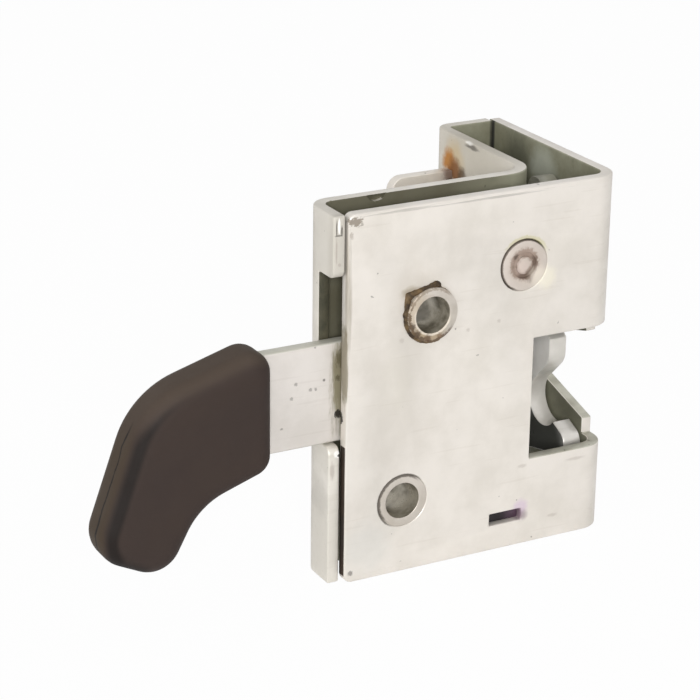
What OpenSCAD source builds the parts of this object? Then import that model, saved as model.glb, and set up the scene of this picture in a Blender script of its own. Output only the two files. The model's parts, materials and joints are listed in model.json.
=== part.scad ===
// Rotary-claw door lock for a tractor cab: a two-plate pressed housing with a hand lever.
// Origin on the axis of the upper bolt bush, in the outer face of the front plate.
// +X runs to the striker side, +Y from the outer face into the housing, +Z up. Millimetres.

/* [Sheet metal] */
// Thickness of both pressed plates
sheet_t = 3; // [2.9:0.05:3.1]
// Inside radius of the striker flange's bend
flange_bend_r = 3; // [2.6:0.1:3]
// Width of the front plate over its striker flange
plate_w = 74; // [74:0.5:76]
// Height of both plates
plate_h = 92; // [90:1:96]
// Bush axis to the left edge of the front plate
plate_left = 22; // [21.5:0.1:22.5]
// Bush axis to the lower edge of the plates
plate_below = 65; // [64:0.5:67]
// Depth of the striker flange
flange_depth = 56; // [55:0.5:57]
// Corner radius at the left end of the front plate
plate_corner_r = 2; // [1:0.5:4]

/* [Back plate] */
// Outer depth of the shallow lever housing
shell_depth = 14.5; // [14.5:0.1:15]
// Outer depth of the deep claw box
box_depth = 57; // [57:0.5:59]
// Inside radius of the left wall's bend
wall_bend_r = 2.4; // [1.2:0.2:3]
// Inside radius of the step from the web to the claw box
step_bend_r = 5; // [3:0.2:5]
// Inside radius of the claw box's rear bend
rear_bend_r = 1.2; // [0.8:0.2:1.6]
// Depth of the seam where the claw box meets the back plate
box_seam = 24.5; // [24:0.1:25]
// Bush axis to the left face of the claw box
box_left = 33; // [32.5:0.1:33.2]
// Gap between the two plates at the left edge
edge_gap = 0.6; // [0.4:0.1:1]
// Depth at which the left wall starts
wall_front_y = 1.8; // [1:0.1:2.5]
// Depth at which the wall's upper tab starts
tab_front_y = 0.4; // [0.2:0.1:0.8]
// Rear edge of the lever slot in the left wall
slot_rear_y = 7.6; // [7.5:0.1:8]
// Top of the lever slot above the bush axis
slot_top = 12; // [12:0.5:15]

/* [Striker mouth] */
// Bush axis to the left edge of the mouth
mouth_left = 28.8; // [28:0.2:30]
// Height of the mouth in the front plate
mouth_h = 31.4; // [31:0.2:32]
// Height of the mouth in the flange, where the funnel starts
funnel_h = 23.2; // [22:0.2:24]
// Depth at which the funnel starts
funnel_y = 7.7; // [7:0.1:8.5]
// Diameter of the striker pin
striker_d = 12; // [11.5:0.1:12]
// Room round the closed striker
striker_play = 0.6; // [0.4:0.1:1]
// Depth of the closed striker
striker_y = 24.2; // [24:0.1:24.5]
// Height of the closed striker below the bush axis
striker_drop = 26.7; // [26.5:0.1:27]

/* [Bolt bushes] */
// Bore of the two bushes, clearance for an M8 bolt
bush_id = 9; // [8.4:0.1:9.4]
// Outside diameter of the bushes
bush_od = 13.2; // [12.8:0.1:13.4]
// Height of the upper bush in front of the plate
bush_proud = 1.2; // [1:0.1:2]
// Lower bush from the upper one, along X
lower_bush_x = -6.5; // [-8:0.5:-5]
// Lower bush from the upper one, along Z
lower_bush_z = -46.4; // [-48:0.1:-45]
// Leg of the weld fillet round the upper bush
bush_weld_leg = 1; // [0.8:0.1:1]

/* [Hand lever] */
// Lever pivot right of the bush axis
pivot_x = 25.3; // [25:0.1:25.6]
// Lever pivot above the bush axis
pivot_z = 8.1; // [8:0.1:8.3]
// Diameter of the lever pivot pin
pivot_d = 12.5; // [12:0.1:12.6]
// Height of the flat lever bar
arm_h = 25; // [24.5:0.1:25]
// Thickness of the lever bar
arm_t = 3; // [2.9:0.05:3]
// Upper edge of the lever bar below the bush axis
arm_drop = 4.6; // [4.4:0.1:4.8]
// Gap between the front plate and the lever
arm_gap = 1; // [0.9:0.05:1.1]
// Upward travel of the lever in degrees
lever_lift = 18; // [16:1:18]

/* [Grip] */
// Thickness of the moulded grip
grip_t = 13; // [12:0.5:14]
// Radius that the grip's edges are rounded to, seen from the end
grip_round = 4.5; // [3:0.25:5]

/* [Claw and pawl] */
// Thickness of the claw and of the pawl
claw_t = 5; // [4.8:0.1:5]
// Left face of the claw from the bush axis
claw_x = 43.4; // [43.2:0.1:43.5]
// Depth of the claw pivot
claw_y = 34.5; // [34.3:0.1:34.7]
// Height of the claw pivot below the bush axis
claw_drop = 42; // [41.8:0.1:42.2]
// Turn of the claw from open to closed in degrees
claw_turn = 37; // [36:0.5:37]
// Diameter of the claw pin
claw_pin_d = 8; // [7.5:0.1:8]
// Diameter of the pawl pin
pawl_pin_d = 7; // [6.5:0.1:7]
// Depth of the pawl pivot
pawl_y = 19; // [18.9:0.05:19.1]
// Height of the pawl pivot below the bush axis
pawl_drop = 5; // [4.9:0.05:5.1]

/* [Rear lug] */
// Reach of the welded lug left of the claw box
lug_reach = 17.4; // [16:0.2:20]
// Height of the lug
lug_h = 34; // [30:1:40]
// Top of the lug above the bush axis
lug_top = 17.6; // [15:0.2:20]
// Depth of the lug's front face
lug_y = 47; // [45:0.5:49]
// Hole in the lug
lug_hole_d = 9; // [6:0.5:9]

/* [Hidden] */
$fn = 64;
hair = 0.03;

// Plates
plate_right = plate_w - plate_left;
plate_top = plate_h - plate_below;
flange_bend_out = flange_bend_r + sheet_t;
wall_bend_out = wall_bend_r + sheet_t;
rear_bend_out = rear_bend_r + sheet_t;
pocket_c = [-8.6, plate_top + 1.2];
pocket_r = 2.9;
pocket_deep = 1.2;
wall_left = -plate_left - edge_gap - sheet_t;
box_in = box_left + sheet_t;
flange_in = plate_right - sheet_t;
web_in = shell_depth - sheet_t;
mouth_mid = -striker_drop;
funnel_r = striker_d / 2 + striker_play;
tab_corner_r = 2;

// Small running and seating gaps
pin_play = 0.05;
face_gap = 0.1;
rest_gap = 0.4;
ring_gap = 0.15;

// Lever
arm_y = sheet_t + arm_gap;
arm_top = -arm_drop;
arm_low = arm_top - arm_h;
pivot = [pivot_x, pivot_z];
boss_r = 11;
bush_room_r = bush_od / 2 + 0.6;
stem = [8, arm_low + arm_h / 2];
tip_r = 4.5;
tip = [43.2, 5.9];
arm_end = -46;
tang_end = -66;
tang_h = 13;
swung_bush = pivot + turned(-pivot, lever_lift);

// Lever spring between a peg on the lever and a flat bar in slots of both plates
hook = [8.5, arm_low + 3.4];
hook_peg_r = 1.5;
bar_w = 9.1;
bar_h = 3.15;
bar_at = [22.75, -56.9];
bar_inset = 2;
bar_notch = 2;
hook_y = 9.2;
lever_wire_r = 0.45;
lever_coil_r = 1.5;
lever_turns = 16;
wire_gap = 0.08;

// Claw, seen along X with Y to the right and Z up
claw_c = [claw_y, -claw_drop];
striker_c = [striker_y, mouth_mid];
throat = claw_c + turned(striker_c - claw_c, claw_turn);
throat_r = striker_d / 2 + 0.3;
hub_r = 11;
crest_r = 30.2;
face_y = 15;
nib_r = 3.4;
nib = [10.1, -44.5];
lobe_round = 5;
heel_top = -36.9;
heel_reach = 15;
stop_c = [46.5, -34];
stop_r = 2.5;

// Pawl, in the claw's plane
pawl_c = [pawl_y, -pawl_drop];
pawl_hub_r = 6.8;
tail_r = 2;
tail = [6.2, -1];
tail_drop = 3;
tail_bevel = 2.4;
release_r = 3.5;
release = [24.6, 17.3];
nose_r = 1.6;
nose = claw_c + polar(crest_r + rest_gap + nose_r, 95);

// Torsion springs: one end bent into the box wall, a free leg that bears on a peg
coil_sides = 8;
coil_steps = 14;
tail_len = 2.4;
peg_len = 3.2;
claw_coil_r = 7;
claw_wire_r = 0.65;
claw_leg_a = 48;
claw_leg = 9;
claw_peg_r = 1.2;
claw_peg_c = claw_c + turned([claw_coil_r - claw_wire_r - claw_peg_r - ring_gap, claw_leg], claw_leg_a);
claw_foot_a = 0;
pawl_coil_r = 6.1;
pawl_wire_r = 0.55;
pawl_leg_a = 37;
pawl_leg = 7.2;
pawl_peg_r = 0.9;
pawl_peg_c = pawl_c + turned([pawl_coil_r - pawl_wire_r - pawl_peg_r - ring_gap, -pawl_leg], pawl_leg_a);
pawl_foot_a = 90;
leg_over = 2.4;

function polar(r, a) = [r * cos(a), r * sin(a)];
function turned(p, a) = [p[0] * cos(a) - p[1] * sin(a), p[0] * sin(a) + p[1] * cos(a)];
function unit(v) = v / norm(v);

// Flat shape in X and Z, given a thickness along +Y
module along_y(y, t) {
    translate([0, y + t, 0])
        rotate([90, 0, 0])
            linear_extrude(t)
                children();
}

// Flat shape in Y and Z, given a thickness along +X
module along_x(x, t) {
    translate([x, 0, 0])
        rotate([90, 0, 90])
            linear_extrude(t)
                children();
}

// Round bar along Y
module rod_y(p, y, len, r) {
    along_y(y, len)
        translate(p)
            circle(r);
}

// Round bar along X
module rod_x(p, x, len, r) {
    along_x(x, len)
        translate(p)
            circle(r);
}

// Straight sides between two circles, a hair inside the tangents
function link_sides(c1, r1, c2, r2) =
    let (
        d = c2 - c1,
        a = atan2(d[1], d[0]),
        b = acos((r1 - r2) / norm(d))
    )
    [
        c1 + polar(r1 - hair, a + b),
        c2 + polar(r2 - hair, a + b),
        c2 + polar(r2 - hair, a - b),
        c1 + polar(r1 - hair, a - b)
    ];

// Two round ends and the straight sides between them, across Y
module link_y(c1, r1, c2, r2, y, t) {
    rod_y(c1, y, t, r1);
    rod_y(c2, y, t, r2);
    along_y(y, t)
        polygon(link_sides(c1, r1, c2, r2));
}

// Two round ends and the straight sides between them, across X
module link_x(c1, r1, c2, r2, x, t) {
    rod_x(c1, x, t, r1);
    rod_x(c2, x, t, r2);
    along_x(x, t)
        polygon(link_sides(c1, r1, c2, r2));
}

// Quarter of a bent sheet seen from above, of inside radius r, in the quadrant given by the signs of q
module bend(c, q, r) {
    out = r + sheet_t;
    intersection() {
        translate(c)
            difference() {
                circle(out);
                circle(r);
            }
        translate(c + [min(q[0], 0), min(q[1], 0)] * out)
            square(out);
    }
}

// What a rounded corner takes away from a square one, with the corner at the origin
module corner_waste(r) {
    difference() {
        translate([-1, -1])
            square(r + 1);
        translate([r, r])
            circle(r);
    }
}

// Corner points of an outline, moved inwards by e
function inset(pts, e) = [
    for (i = [0:len(pts) - 1])
        let (
            n = len(pts),
            a = unit(flat(pts[i]) - flat(pts[(i + n - 1) % n])),
            b = unit(flat(pts[(i + 1) % n]) - flat(pts[i])),
            k = a[0] * b[1] - a[1] * b[0],
            side = [-(a[1] + b[1]), a[0] + b[0]],
            p = flat(pts[i]) + e * side / (1 + a * b)
        )
        [p[0], p[1], k > 0 ? pts[i][2] - e : pts[i][2] + e]
];
function flat(p) = [p[0], p[1]];

// Outline through corner points, each with its own radius, counter-clockwise
function rounded(pts, steps) = [
    for (i = [0:len(pts) - 1])
        let (
            n = len(pts),
            c = flat(pts[i]),
            a = unit(c - flat(pts[(i + n - 1) % n])),
            b = unit(flat(pts[(i + 1) % n]) - c),
            turn = atan2(a[0] * b[1] - a[1] * b[0], a * b),
            reach = pts[i][2] * tan(abs(turn) / 2),
            side = turn > 0 ? 1 : -1,
            centre = c - a * reach + side * pts[i][2] * [-a[1], a[0]]
        )
        for (s = [0:steps])
            centre + side * pts[i][2] * turned([a[1], -a[0]], turn * s / steps)
];

// Faces between rings of n points that run counter-clockwise about their path, closed at both ends
function ring_faces(rings, n) = concat(
    [[for (k = [0:n - 1]) k]],
    [
        for (i = [0:rings - 2])
            for (k = [0:n - 1])
                [i * n + k, (i + 1) * n + k, (i + 1) * n + (k + 1) % n, i * n + (k + 1) % n]
    ],
    [[for (k = [n - 1:-1:0]) (rings - 1) * n + k]]
);

// Round wire along a path
module wire(path, r) {
    last = len(path) - 1;
    t = [for (i = [0:last]) unit(path[min(i + 1, last)] - path[max(i - 1, 0)])];
    seed = abs(t[0][2]) < 0.9 ? [0, 0, 1] : [0, 1, 0];
    n = [
        for (i = 0, v = unit(seed - t[0] * (seed * t[0])); i <= last; i = i + 1,
            v = i <= last ? unit(v - t[i] * (v * t[i])) : v)
            v
    ];
    points = [
        for (i = [0:last])
            for (k = [0:coil_sides - 1])
                let (a = 360 * k / coil_sides)
                path[i] + r * (n[i] * cos(a) + cross(t[i], n[i]) * sin(a))
    ];
    polyhedron(points, ring_faces(last + 1, coil_sides));
}

// Torsion spring on an X axis: end bent into the wall at x - tail, turns, straight free leg
function torsion_path(c, r, x, pitch, from, to, tail, leg) =
    let (
        steps = ceil(coil_steps * abs(to - from) / 360),
        way = to > from ? 1 : -1,
        at = function(f)
            let (a = from + f * (to - from), p = c + polar(r, a))
            [x + pitch * f * abs(to - from) / 360, p[0], p[1]],
        end = way * polar(1, to + 90)
    )
    concat(
        [at(0) - [tail, 0, 0]],
        [for (i = [0:steps]) at(i / steps)],
        [at(1) + leg * [0, end[0], end[1]]]
    );

// Tension spring from a to b in a plane across Y: loop of radius ra, turns, loop of radius rb
function tension_path(a, b, y, r, turns, ra, rb) =
    let (
        axis = unit(b - a),
        side = [-axis[1], axis[0]],
        long = norm(b - a),
        neck = 1.6,
        first = ra + neck,
        run = long - rb - neck - first,
        steps = coil_steps * turns,
        put = function(u, v, w) let (p = a + axis * u + side * v) [p[0], y + w, p[1]]
    )
    concat(
        [for (h = [290:-30:20]) put(ra * cos(h), ra * sin(h), 0)],
        [
            for (i = [0:steps])
                let (f = i / steps, w = 360 * f * turns)
                put(first + f * run, r * cos(w), r * sin(w))
        ],
        [for (h = [160:-30:-110]) put(long + rb * cos(h), rb * sin(h), 0)]
    );

// Mouth of the flange: a funnel that ends round the closed striker, in Y and Z
module funnel() {
    run = striker_y - funnel_y;
    start = funnel_h / 2;
    far = norm([run, start]);
    slope = asin(funnel_r / far) - atan2(start, run);
    touch = polar(funnel_r, 90 + slope);
    translate([0, mouth_mid]) {
        translate([striker_y, 0])
            circle(funnel_r);
        polygon([
            [funnel_y - 1, -start],
            [funnel_y, -start],
            [striker_y + touch[0], -touch[1]],
            [striker_y, 0],
            [striker_y + touch[0], touch[1]],
            [funnel_y, start],
            [funnel_y - 1, start]
        ]);
    }
}

module front_plate() {
    color("gainsboro")
        difference() {
            translate([0, 0, -plate_below])
                linear_extrude(plate_h) {
                    translate([-plate_left, 0])
                        square([plate_w - flange_bend_out, sheet_t]);
                    bend([plate_right - flange_bend_out, flange_bend_out], [1, -1], flange_bend_r);
                    translate([flange_in, flange_bend_out])
                        square([sheet_t, flange_depth - flange_bend_out]);
                }
            along_y(-1, sheet_t + 2) {
                translate([-plate_left, -plate_below])
                    corner_waste(plate_corner_r);
                translate([-plate_left, plate_top])
                    mirror([0, 1])
                        corner_waste(plate_corner_r);
                circle(d = bush_od);
                translate([lower_bush_x, lower_bush_z])
                    circle(d = bush_od);
                translate(pivot)
                    circle(pivot_d / 2 + ring_gap);
                translate(bar_at)
                    square([bar_w, bar_h], center = true);
            }
            translate([mouth_left, -1, mouth_mid - mouth_h / 2])
                cube([plate_w, funnel_y + 1, mouth_h]);
            along_x(flange_in - 1, sheet_t + 2)
                funnel();
            rod_x(claw_c, flange_in - 1, sheet_t + 2, claw_pin_d / 2);
            rod_x(pawl_c, flange_in - 1, sheet_t + 2, pawl_pin_d / 2);
            rod_x(stop_c, flange_in - 1, sheet_t + 2, stop_r);
        }
}

module back_plate_profile() {
    step_y = shell_depth + step_bend_r;
    translate([wall_left, wall_front_y])
        square([sheet_t, shell_depth - wall_bend_out - wall_front_y]);
    bend([wall_left + wall_bend_out, shell_depth - wall_bend_out], [-1, 1], wall_bend_r);
    translate([wall_left + wall_bend_out, web_in])
        square([box_left - step_bend_r - wall_left - wall_bend_out, sheet_t]);
    bend([box_left - step_bend_r, step_y], [1, -1], step_bend_r);
    translate([box_left, step_y])
        square([sheet_t, box_seam - step_y]);
}

module claw_box_profile() {
    translate([box_left, box_seam])
        square([sheet_t, box_depth - rear_bend_out - box_seam]);
    bend([box_left + rear_bend_out, box_depth - rear_bend_out], [-1, 1], rear_bend_r);
    translate([box_left + rear_bend_out, box_depth - sheet_t])
        square([flange_in - rest_gap - box_left - rear_bend_out, sheet_t]);
}

module back_plate() {
    tab_top = arm_low - rest_gap;
    color("silver")
        difference() {
            union() {
                translate([0, 0, -plate_below])
                    linear_extrude(plate_h)
                        back_plate_profile();
                translate([wall_left, tab_front_y, slot_top])
                    cube([sheet_t, wall_front_y - tab_front_y + 1, plate_top - slot_top]);
            }
            translate([wall_left - 1, -1, tab_top])
                cube([sheet_t + 2, slot_rear_y + 1, slot_top - tab_top]);
            along_x(wall_left - 1, sheet_t + 2) {
                translate([wall_front_y, tab_top])
                    mirror([0, 1])
                        corner_waste(tab_corner_r);
                translate([tab_front_y, slot_top])
                    corner_waste(tab_corner_r);
            }
            along_y(web_in - 1, sheet_t + 2) {
                circle(d = bush_od);
                translate([lower_bush_x, lower_bush_z])
                    circle(d = bush_od);
                translate(pivot)
                    circle(d = pivot_d);
                translate(bar_at)
                    square([bar_w, bar_h], center = true);
            }
            rod_y(pocket_c, web_in - 1, pocket_deep + 1, pocket_r);
            wall_hole(pawl_c, pawl_pin_d / 2);
            wall_hole(pawl_c + polar(pawl_coil_r, pawl_foot_a), pawl_wire_r + ring_gap);
        }
}

// Rear half of the claw box, joined to the back plate at the seam
module claw_box() {
    color("silver")
        difference() {
            translate([0, 0, -plate_below])
                linear_extrude(plate_h)
                    claw_box_profile();
            wall_hole(claw_c, claw_pin_d / 2);
            wall_hole(stop_c, stop_r);
            wall_hole(claw_c + polar(claw_coil_r, claw_foot_a), claw_wire_r + ring_gap);
        }
}

// Cutter for a round hole through the left wall of the claw box
module wall_hole(p, r) {
    rod_x(p, box_left - 1, sheet_t + 2, r);
}

// Bolt bush through both plates
module bush(p, front) {
    along_y(front, shell_depth - front)
        translate(p)
            difference() {
                circle(d = bush_od);
                circle(d = bush_id);
            }
}

module upper_bush() {
    color("lightgray")
        bush([0, 0], -bush_proud);
}

module lower_bush() {
    color("lightgray")
        bush([lower_bush_x, lower_bush_z], 0);
}

// Fillet weld round the proud end of the upper bush
module bush_weld() {
    color("saddlebrown")
        rotate([90, 0, 0])
            rotate_extrude()
                translate([bush_od / 2, 0])
                    polygon([[0, 0], [bush_weld_leg, 0], [0, bush_weld_leg]]);
}

// Stepped rivet on which the lever turns, with a staked centre
module handle_pin() {
    stake_r = 3.2;
    stake_deep = 0.7;
    color("darkgray")
        difference() {
            rod_y(pivot, 0, shell_depth, pivot_d / 2);
            along_y(-1, 1 + stake_deep)
                translate(pivot)
                    difference() {
                        circle(stake_r);
                        circle(stake_r - 1);
                    }
        }
}

module washer_y(p, y, t, r_out, r_in) {
    along_y(y, t)
        translate(p)
            difference() {
                circle(r_out);
                circle(r_in);
            }
}

module washer_x(p, x, t, r_out, r_in) {
    along_x(x, t)
        translate(p)
            difference() {
                circle(r_out);
                circle(r_in);
            }
}

module front_washer() {
    color("darkgray")
        washer_y(pivot, sheet_t, arm_gap - face_gap, boss_r - 1.5, pivot_d / 2);
}

module rear_spacer() {
    y = arm_y + arm_t + face_gap;
    color("darkgray")
        washer_y(pivot, y, web_in - y, boss_r - 1.5, pivot_d / 2);
}

// Flat bar through both plates, notched on both sides for the lower loop of the lever spring
module spring_anchor() {
    color("rosybrown")
        difference() {
            translate([bar_at[0] - bar_w / 2, bar_inset, bar_at[1] - bar_h / 2])
                cube([bar_w, shell_depth - bar_inset, bar_h]);
            for (side = [-1, 1])
                translate([bar_at[0] + side * (bar_w + bar_h) / 2, hook_y, bar_at[1]])
                    cube([bar_w, bar_notch, bar_h + 2], center = true);
        }
}

module rear_lug() {
    lug_round = 3.5;
    left = box_left - lug_reach;
    color("darkgray")
        difference() {
            translate([left, lug_y, lug_top - lug_h])
                cube([lug_reach, sheet_t, lug_h]);
            along_y(lug_y - 1, sheet_t + 2) {
                translate([left, lug_top])
                    mirror([0, 1])
                        corner_waste(lug_round);
                translate([left, lug_top - lug_h])
                    corner_waste(lug_round);
                translate([box_left - lug_reach / 2, lug_top - lug_h / 2])
                    circle(d = lug_hole_d);
            }
        }
}

// Fillet weld in the corner between the lug and the claw box
module lug_weld() {
    leg = 3;
    color("sienna")
        translate([box_left, lug_y, lug_top - lug_h + 2])
            linear_extrude(lug_h - 4)
                polygon([[0, 0], [-leg, 0], [0, -leg]]);
}

module claw_pin() {
    color("darkgray")
        rod_x(claw_c, box_left, plate_right - box_left, claw_pin_d / 2);
}

module claw_spacer() {
    color("darkgray")
        washer_x(claw_c, box_in, claw_x - face_gap - box_in, claw_pin_d / 2 + 1.6, claw_pin_d / 2);
}

module claw_washer() {
    x = claw_x + claw_t + face_gap;
    color("darkgray")
        washer_x(claw_c, x, flange_in - x, hub_r - 2, claw_pin_d / 2);
}

module claw_stop() {
    color("darkgray")
        rod_x(stop_c, box_left, plate_right - box_left, stop_r);
}

module pawl_pin() {
    color("darkgray")
        rod_x(pawl_c, box_left, plate_right - box_left, pawl_pin_d / 2);
}

module pawl_spacer() {
    color("darkgray")
        washer_x(pawl_c, box_in, claw_x - face_gap - box_in, pawl_pin_d / 2 + 1.2, pawl_pin_d / 2);
}

module pawl_washer() {
    x = claw_x + claw_t + face_gap;
    color("darkgray")
        washer_x(pawl_c, x, flange_in - x, pawl_hub_r - 1, pawl_pin_d / 2);
}

module claw_spring() {
    x = box_in + claw_wire_r + face_gap;
    pitch = 1.45;
    turns = 3;
    color("dimgray")
        wire(
            torsion_path(
                claw_c, claw_coil_r, x, pitch, claw_foot_a, claw_leg_a + 360 * turns,
                tail_len, claw_leg + leg_over
            ),
            claw_wire_r
        );
}

module pawl_spring() {
    x = box_in + pawl_wire_r + face_gap;
    pitch = 1.3;
    turns = 3;
    color("dimgray")
        wire(
            torsion_path(
                pawl_c, pawl_coil_r, x, pitch, pawl_foot_a + 360 * turns, pawl_leg_a,
                tail_len, pawl_leg + leg_over
            ),
            pawl_wire_r
        );
}

module lever_spring() {
    peg_loop = hook_peg_r + wire_gap + lever_wire_r;
    bar_loop = norm([bar_h, bar_h]) / 2 + wire_gap + lever_wire_r;
    color("dimgray")
        wire(
            tension_path(hook, bar_at, hook_y, lever_coil_r, lever_turns, peg_loop, bar_loop),
            lever_wire_r
        );
}

// Flat lever: tang inside the grip, bar, stem up to the pivot boss, and the finger over the pawl
module lever_arm() {
    cut_y = arm_y - 1;
    cut_t = arm_t + 2;
    color("silver")
        difference() {
            union() {
                translate([arm_end, arm_y, arm_low])
                    cube([stem[0] - arm_end, arm_t, arm_h]);
                translate([tang_end, arm_y, stem[1] - tang_h / 2])
                    cube([arm_end - tang_end + 1, arm_t, tang_h]);
                link_y(stem, arm_h / 2, pivot, boss_r, arm_y, arm_t);
                link_y(pivot, boss_r - 2, tip, tip_r, arm_y, arm_t);
            }
            link_y([0, 0], bush_room_r, swung_bush, bush_room_r, cut_y, cut_t);
            translate([-bush_room_r, cut_y, 0])
                cube([2 * bush_room_r, cut_t, arm_h]);
            rod_y(pivot, cut_y, cut_t, pivot_d / 2 + pin_play);
            rod_y(hook, cut_y, cut_t, hook_peg_r);
        }
}

// Peg in the lever for the upper loop of its spring
module lever_peg() {
    end_gap = 0.5;
    color("darkgray")
        rod_y(hook, arm_y, web_in - end_gap - arm_y, hook_peg_r);
}

// Corner points of the grip in X and Z, each with its radius, counter-clockwise
grip_right = -plate_left - 18.5;
grip_corners = [
    [grip_right, -32, 5],
    [grip_right, -0.7, 5.5],
    [-72.4, -10, 22],
    [-85.3, -45.7, 8],
    [-67.3, -54.5, 7.5],
    [-58.5, -38, 16]
];

module grip() {
    rings = 5;
    mid = arm_y + arm_t / 2;
    steps = 6;
    levels = [for (i = [0:rings]) 90 * i / rings];
    half = [for (a = levels) [grip_t / 2 - grip_round * (1 - cos(a)), grip_round * (1 - sin(a))]];
    profile = concat(
        half,
        [for (i = [rings:-1:0]) [-half[i][0], half[i][1]]]
    );
    count = (steps + 1) * len(grip_corners);
    points = [
        for (p = profile)
            for (q = rounded(inset(grip_corners, p[1]), steps))
                [q[0], mid + p[0], q[1]]
    ];
    color([0.22, 0.19, 0.18])
        difference() {
            polyhedron(points, ring_faces(len(profile), count));
            lever_arm();
        }
}

// Upper lobe of the claw: crest, flat face, rounded lip and the slope down to the throat
module claw_lobe() {
    touch = throat + polar(throat_r - hair, 45);
    lip_z = touch[1] + touch[0] - face_y;
    lip_c = [face_y + lobe_round, lip_z + lobe_round * tan(22.5)];
    along_x(claw_x, claw_t)
        intersection() {
            translate(claw_c)
                circle(crest_r);
            polygon(concat(
                [[face_y, 0]],
                [for (a = [180:9:225]) lip_c + polar(lobe_round, a)],
                [touch, throat, claw_c + [2, 0], claw_c + [0, crest_r]]
            ));
        }
}

// Claw: hub, lower nib, upper lobe and heel, less the striker's throat
module claw() {
    cut_x = claw_x - 1;
    cut_t = claw_t + 2;
    color("lightgray")
        difference() {
            union() {
                link_x(nib, nib_r, claw_c, hub_r, claw_x, claw_t);
                claw_lobe();
                translate([claw_x, claw_c[0], claw_c[1]])
                    cube([claw_t, heel_reach, heel_top - claw_c[1]]);
            }
            rod_x(throat, cut_x, cut_t, throat_r);
            rod_x(claw_c, cut_x, cut_t, claw_pin_d / 2 + pin_play);
            rod_x(claw_peg_c, cut_x, cut_t, claw_peg_r);
        }
}

// Peg in the claw for the free leg of its spring
module claw_peg() {
    color("darkgray")
        rod_x(claw_peg_c, claw_x - peg_len, claw_t + peg_len, claw_peg_r);
}

// Pawl: hub, tail under the lever's finger with a bevel that clears the flange's bend,
// nose over the claw's crest and upright release arm
module pawl() {
    cut_x = claw_x - 1;
    cut_t = claw_t + 2;
    color("lightgray")
        difference() {
            union() {
                rod_x(pawl_c, claw_x, claw_t, pawl_hub_r);
                link_x(pawl_c - [0, tail_drop], pawl_hub_r - tail_drop, tail, tail_r, claw_x, claw_t);
                link_x(pawl_c, pawl_hub_r - 1, nose, nose_r, claw_x, claw_t);
                link_x(pawl_c, pawl_hub_r - 1, release, release_r, claw_x, claw_t);
            }
            rod_x(pawl_c, cut_x, cut_t, pawl_pin_d / 2 + pin_play);
            rod_x(pawl_peg_c, cut_x, cut_t, pawl_peg_r);
            translate([claw_x + claw_t, tail[0] - tail_r, tail[1]])
                rotate(45)
                    cube([tail_bevel, tail_bevel, 4 * tail_r], center = true);
        }
}

// Peg in the pawl for the free leg of its spring
module pawl_peg() {
    color("darkgray")
        rod_x(pawl_peg_c, claw_x - peg_len, claw_t + peg_len, pawl_peg_r);
}

front_plate();
back_plate();
claw_box();
upper_bush();
lower_bush();
bush_weld();
handle_pin();
front_washer();
rear_spacer();
spring_anchor();
rear_lug();
lug_weld();
claw_pin();
claw_spacer();
claw_washer();
claw_stop();
pawl_pin();
pawl_spacer();
pawl_washer();
claw_spring();
pawl_spring();
lever_spring();
lever_arm();
lever_peg();
grip();
claw();
claw_peg();
pawl();
pawl_peg();
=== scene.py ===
"""Looks of a tractor door lock: zinc-plated pressed plates, a hand lever with a moulded grip, a claw and a pawl."""

import json
import logging
import math
from dataclasses import dataclass, field
from enum import Enum
from typing import Any, Callable, Iterable

import bpy
from mathutils import Matrix, Vector

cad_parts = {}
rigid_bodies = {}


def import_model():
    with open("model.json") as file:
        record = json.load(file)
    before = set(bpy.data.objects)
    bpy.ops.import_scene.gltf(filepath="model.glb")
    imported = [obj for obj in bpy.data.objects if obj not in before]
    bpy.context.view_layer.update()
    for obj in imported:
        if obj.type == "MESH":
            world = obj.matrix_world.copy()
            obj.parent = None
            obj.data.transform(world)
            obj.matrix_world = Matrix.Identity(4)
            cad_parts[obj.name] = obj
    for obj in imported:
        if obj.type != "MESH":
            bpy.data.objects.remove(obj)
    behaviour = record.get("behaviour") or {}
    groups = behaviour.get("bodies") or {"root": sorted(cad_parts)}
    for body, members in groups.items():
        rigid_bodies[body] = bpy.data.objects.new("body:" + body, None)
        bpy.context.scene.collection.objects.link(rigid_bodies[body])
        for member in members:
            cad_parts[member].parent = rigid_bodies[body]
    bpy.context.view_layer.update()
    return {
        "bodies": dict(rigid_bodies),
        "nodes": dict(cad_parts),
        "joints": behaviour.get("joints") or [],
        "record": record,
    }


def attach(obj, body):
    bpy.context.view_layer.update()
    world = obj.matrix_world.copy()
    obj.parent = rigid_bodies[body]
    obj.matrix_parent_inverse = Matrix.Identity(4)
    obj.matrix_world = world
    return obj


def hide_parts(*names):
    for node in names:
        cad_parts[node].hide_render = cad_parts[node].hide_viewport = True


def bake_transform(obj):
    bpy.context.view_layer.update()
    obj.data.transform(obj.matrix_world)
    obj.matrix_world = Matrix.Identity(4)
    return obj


LOG = logging.getLogger("door_lock")
MM = 0.001
Colour = tuple[float, float, float]
Point = tuple[float, float, float]


class Body(Enum):
    """The rigid bodies that pieces ride on."""

    HOUSING = "housing"
    LEVER = "lever"
    CLAW = "claw"
    PAWL = "pawl"


class Slot(Enum):
    """The material slots that the part's record names."""

    ZINC = "zinc_sheet"
    BUSH = "bush_steel"
    PIN = "pin_steel"
    LEVER = "lever_steel"
    CLAW = "claw_steel"
    SPRING = "spring_steel"
    WELD = "weld"
    GRIP = "grip_plastic"


def srgb(red: int, green: int, blue: int) -> Colour:
    """Turns a display colour into a linear one.

    Args:
        red: Red from 0 to 255.
        green: Green from 0 to 255.
        blue: Blue from 0 to 255.

    Returns:
        The linear colour.
    """

    def linear(value: int) -> float:
        """Gives one channel in linear light."""
        v = value / 255
        return v / 12.92 if v <= 0.04045 else ((v + 0.055) / 1.055) ** 2.4

    return linear(red), linear(green), linear(blue)


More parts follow.
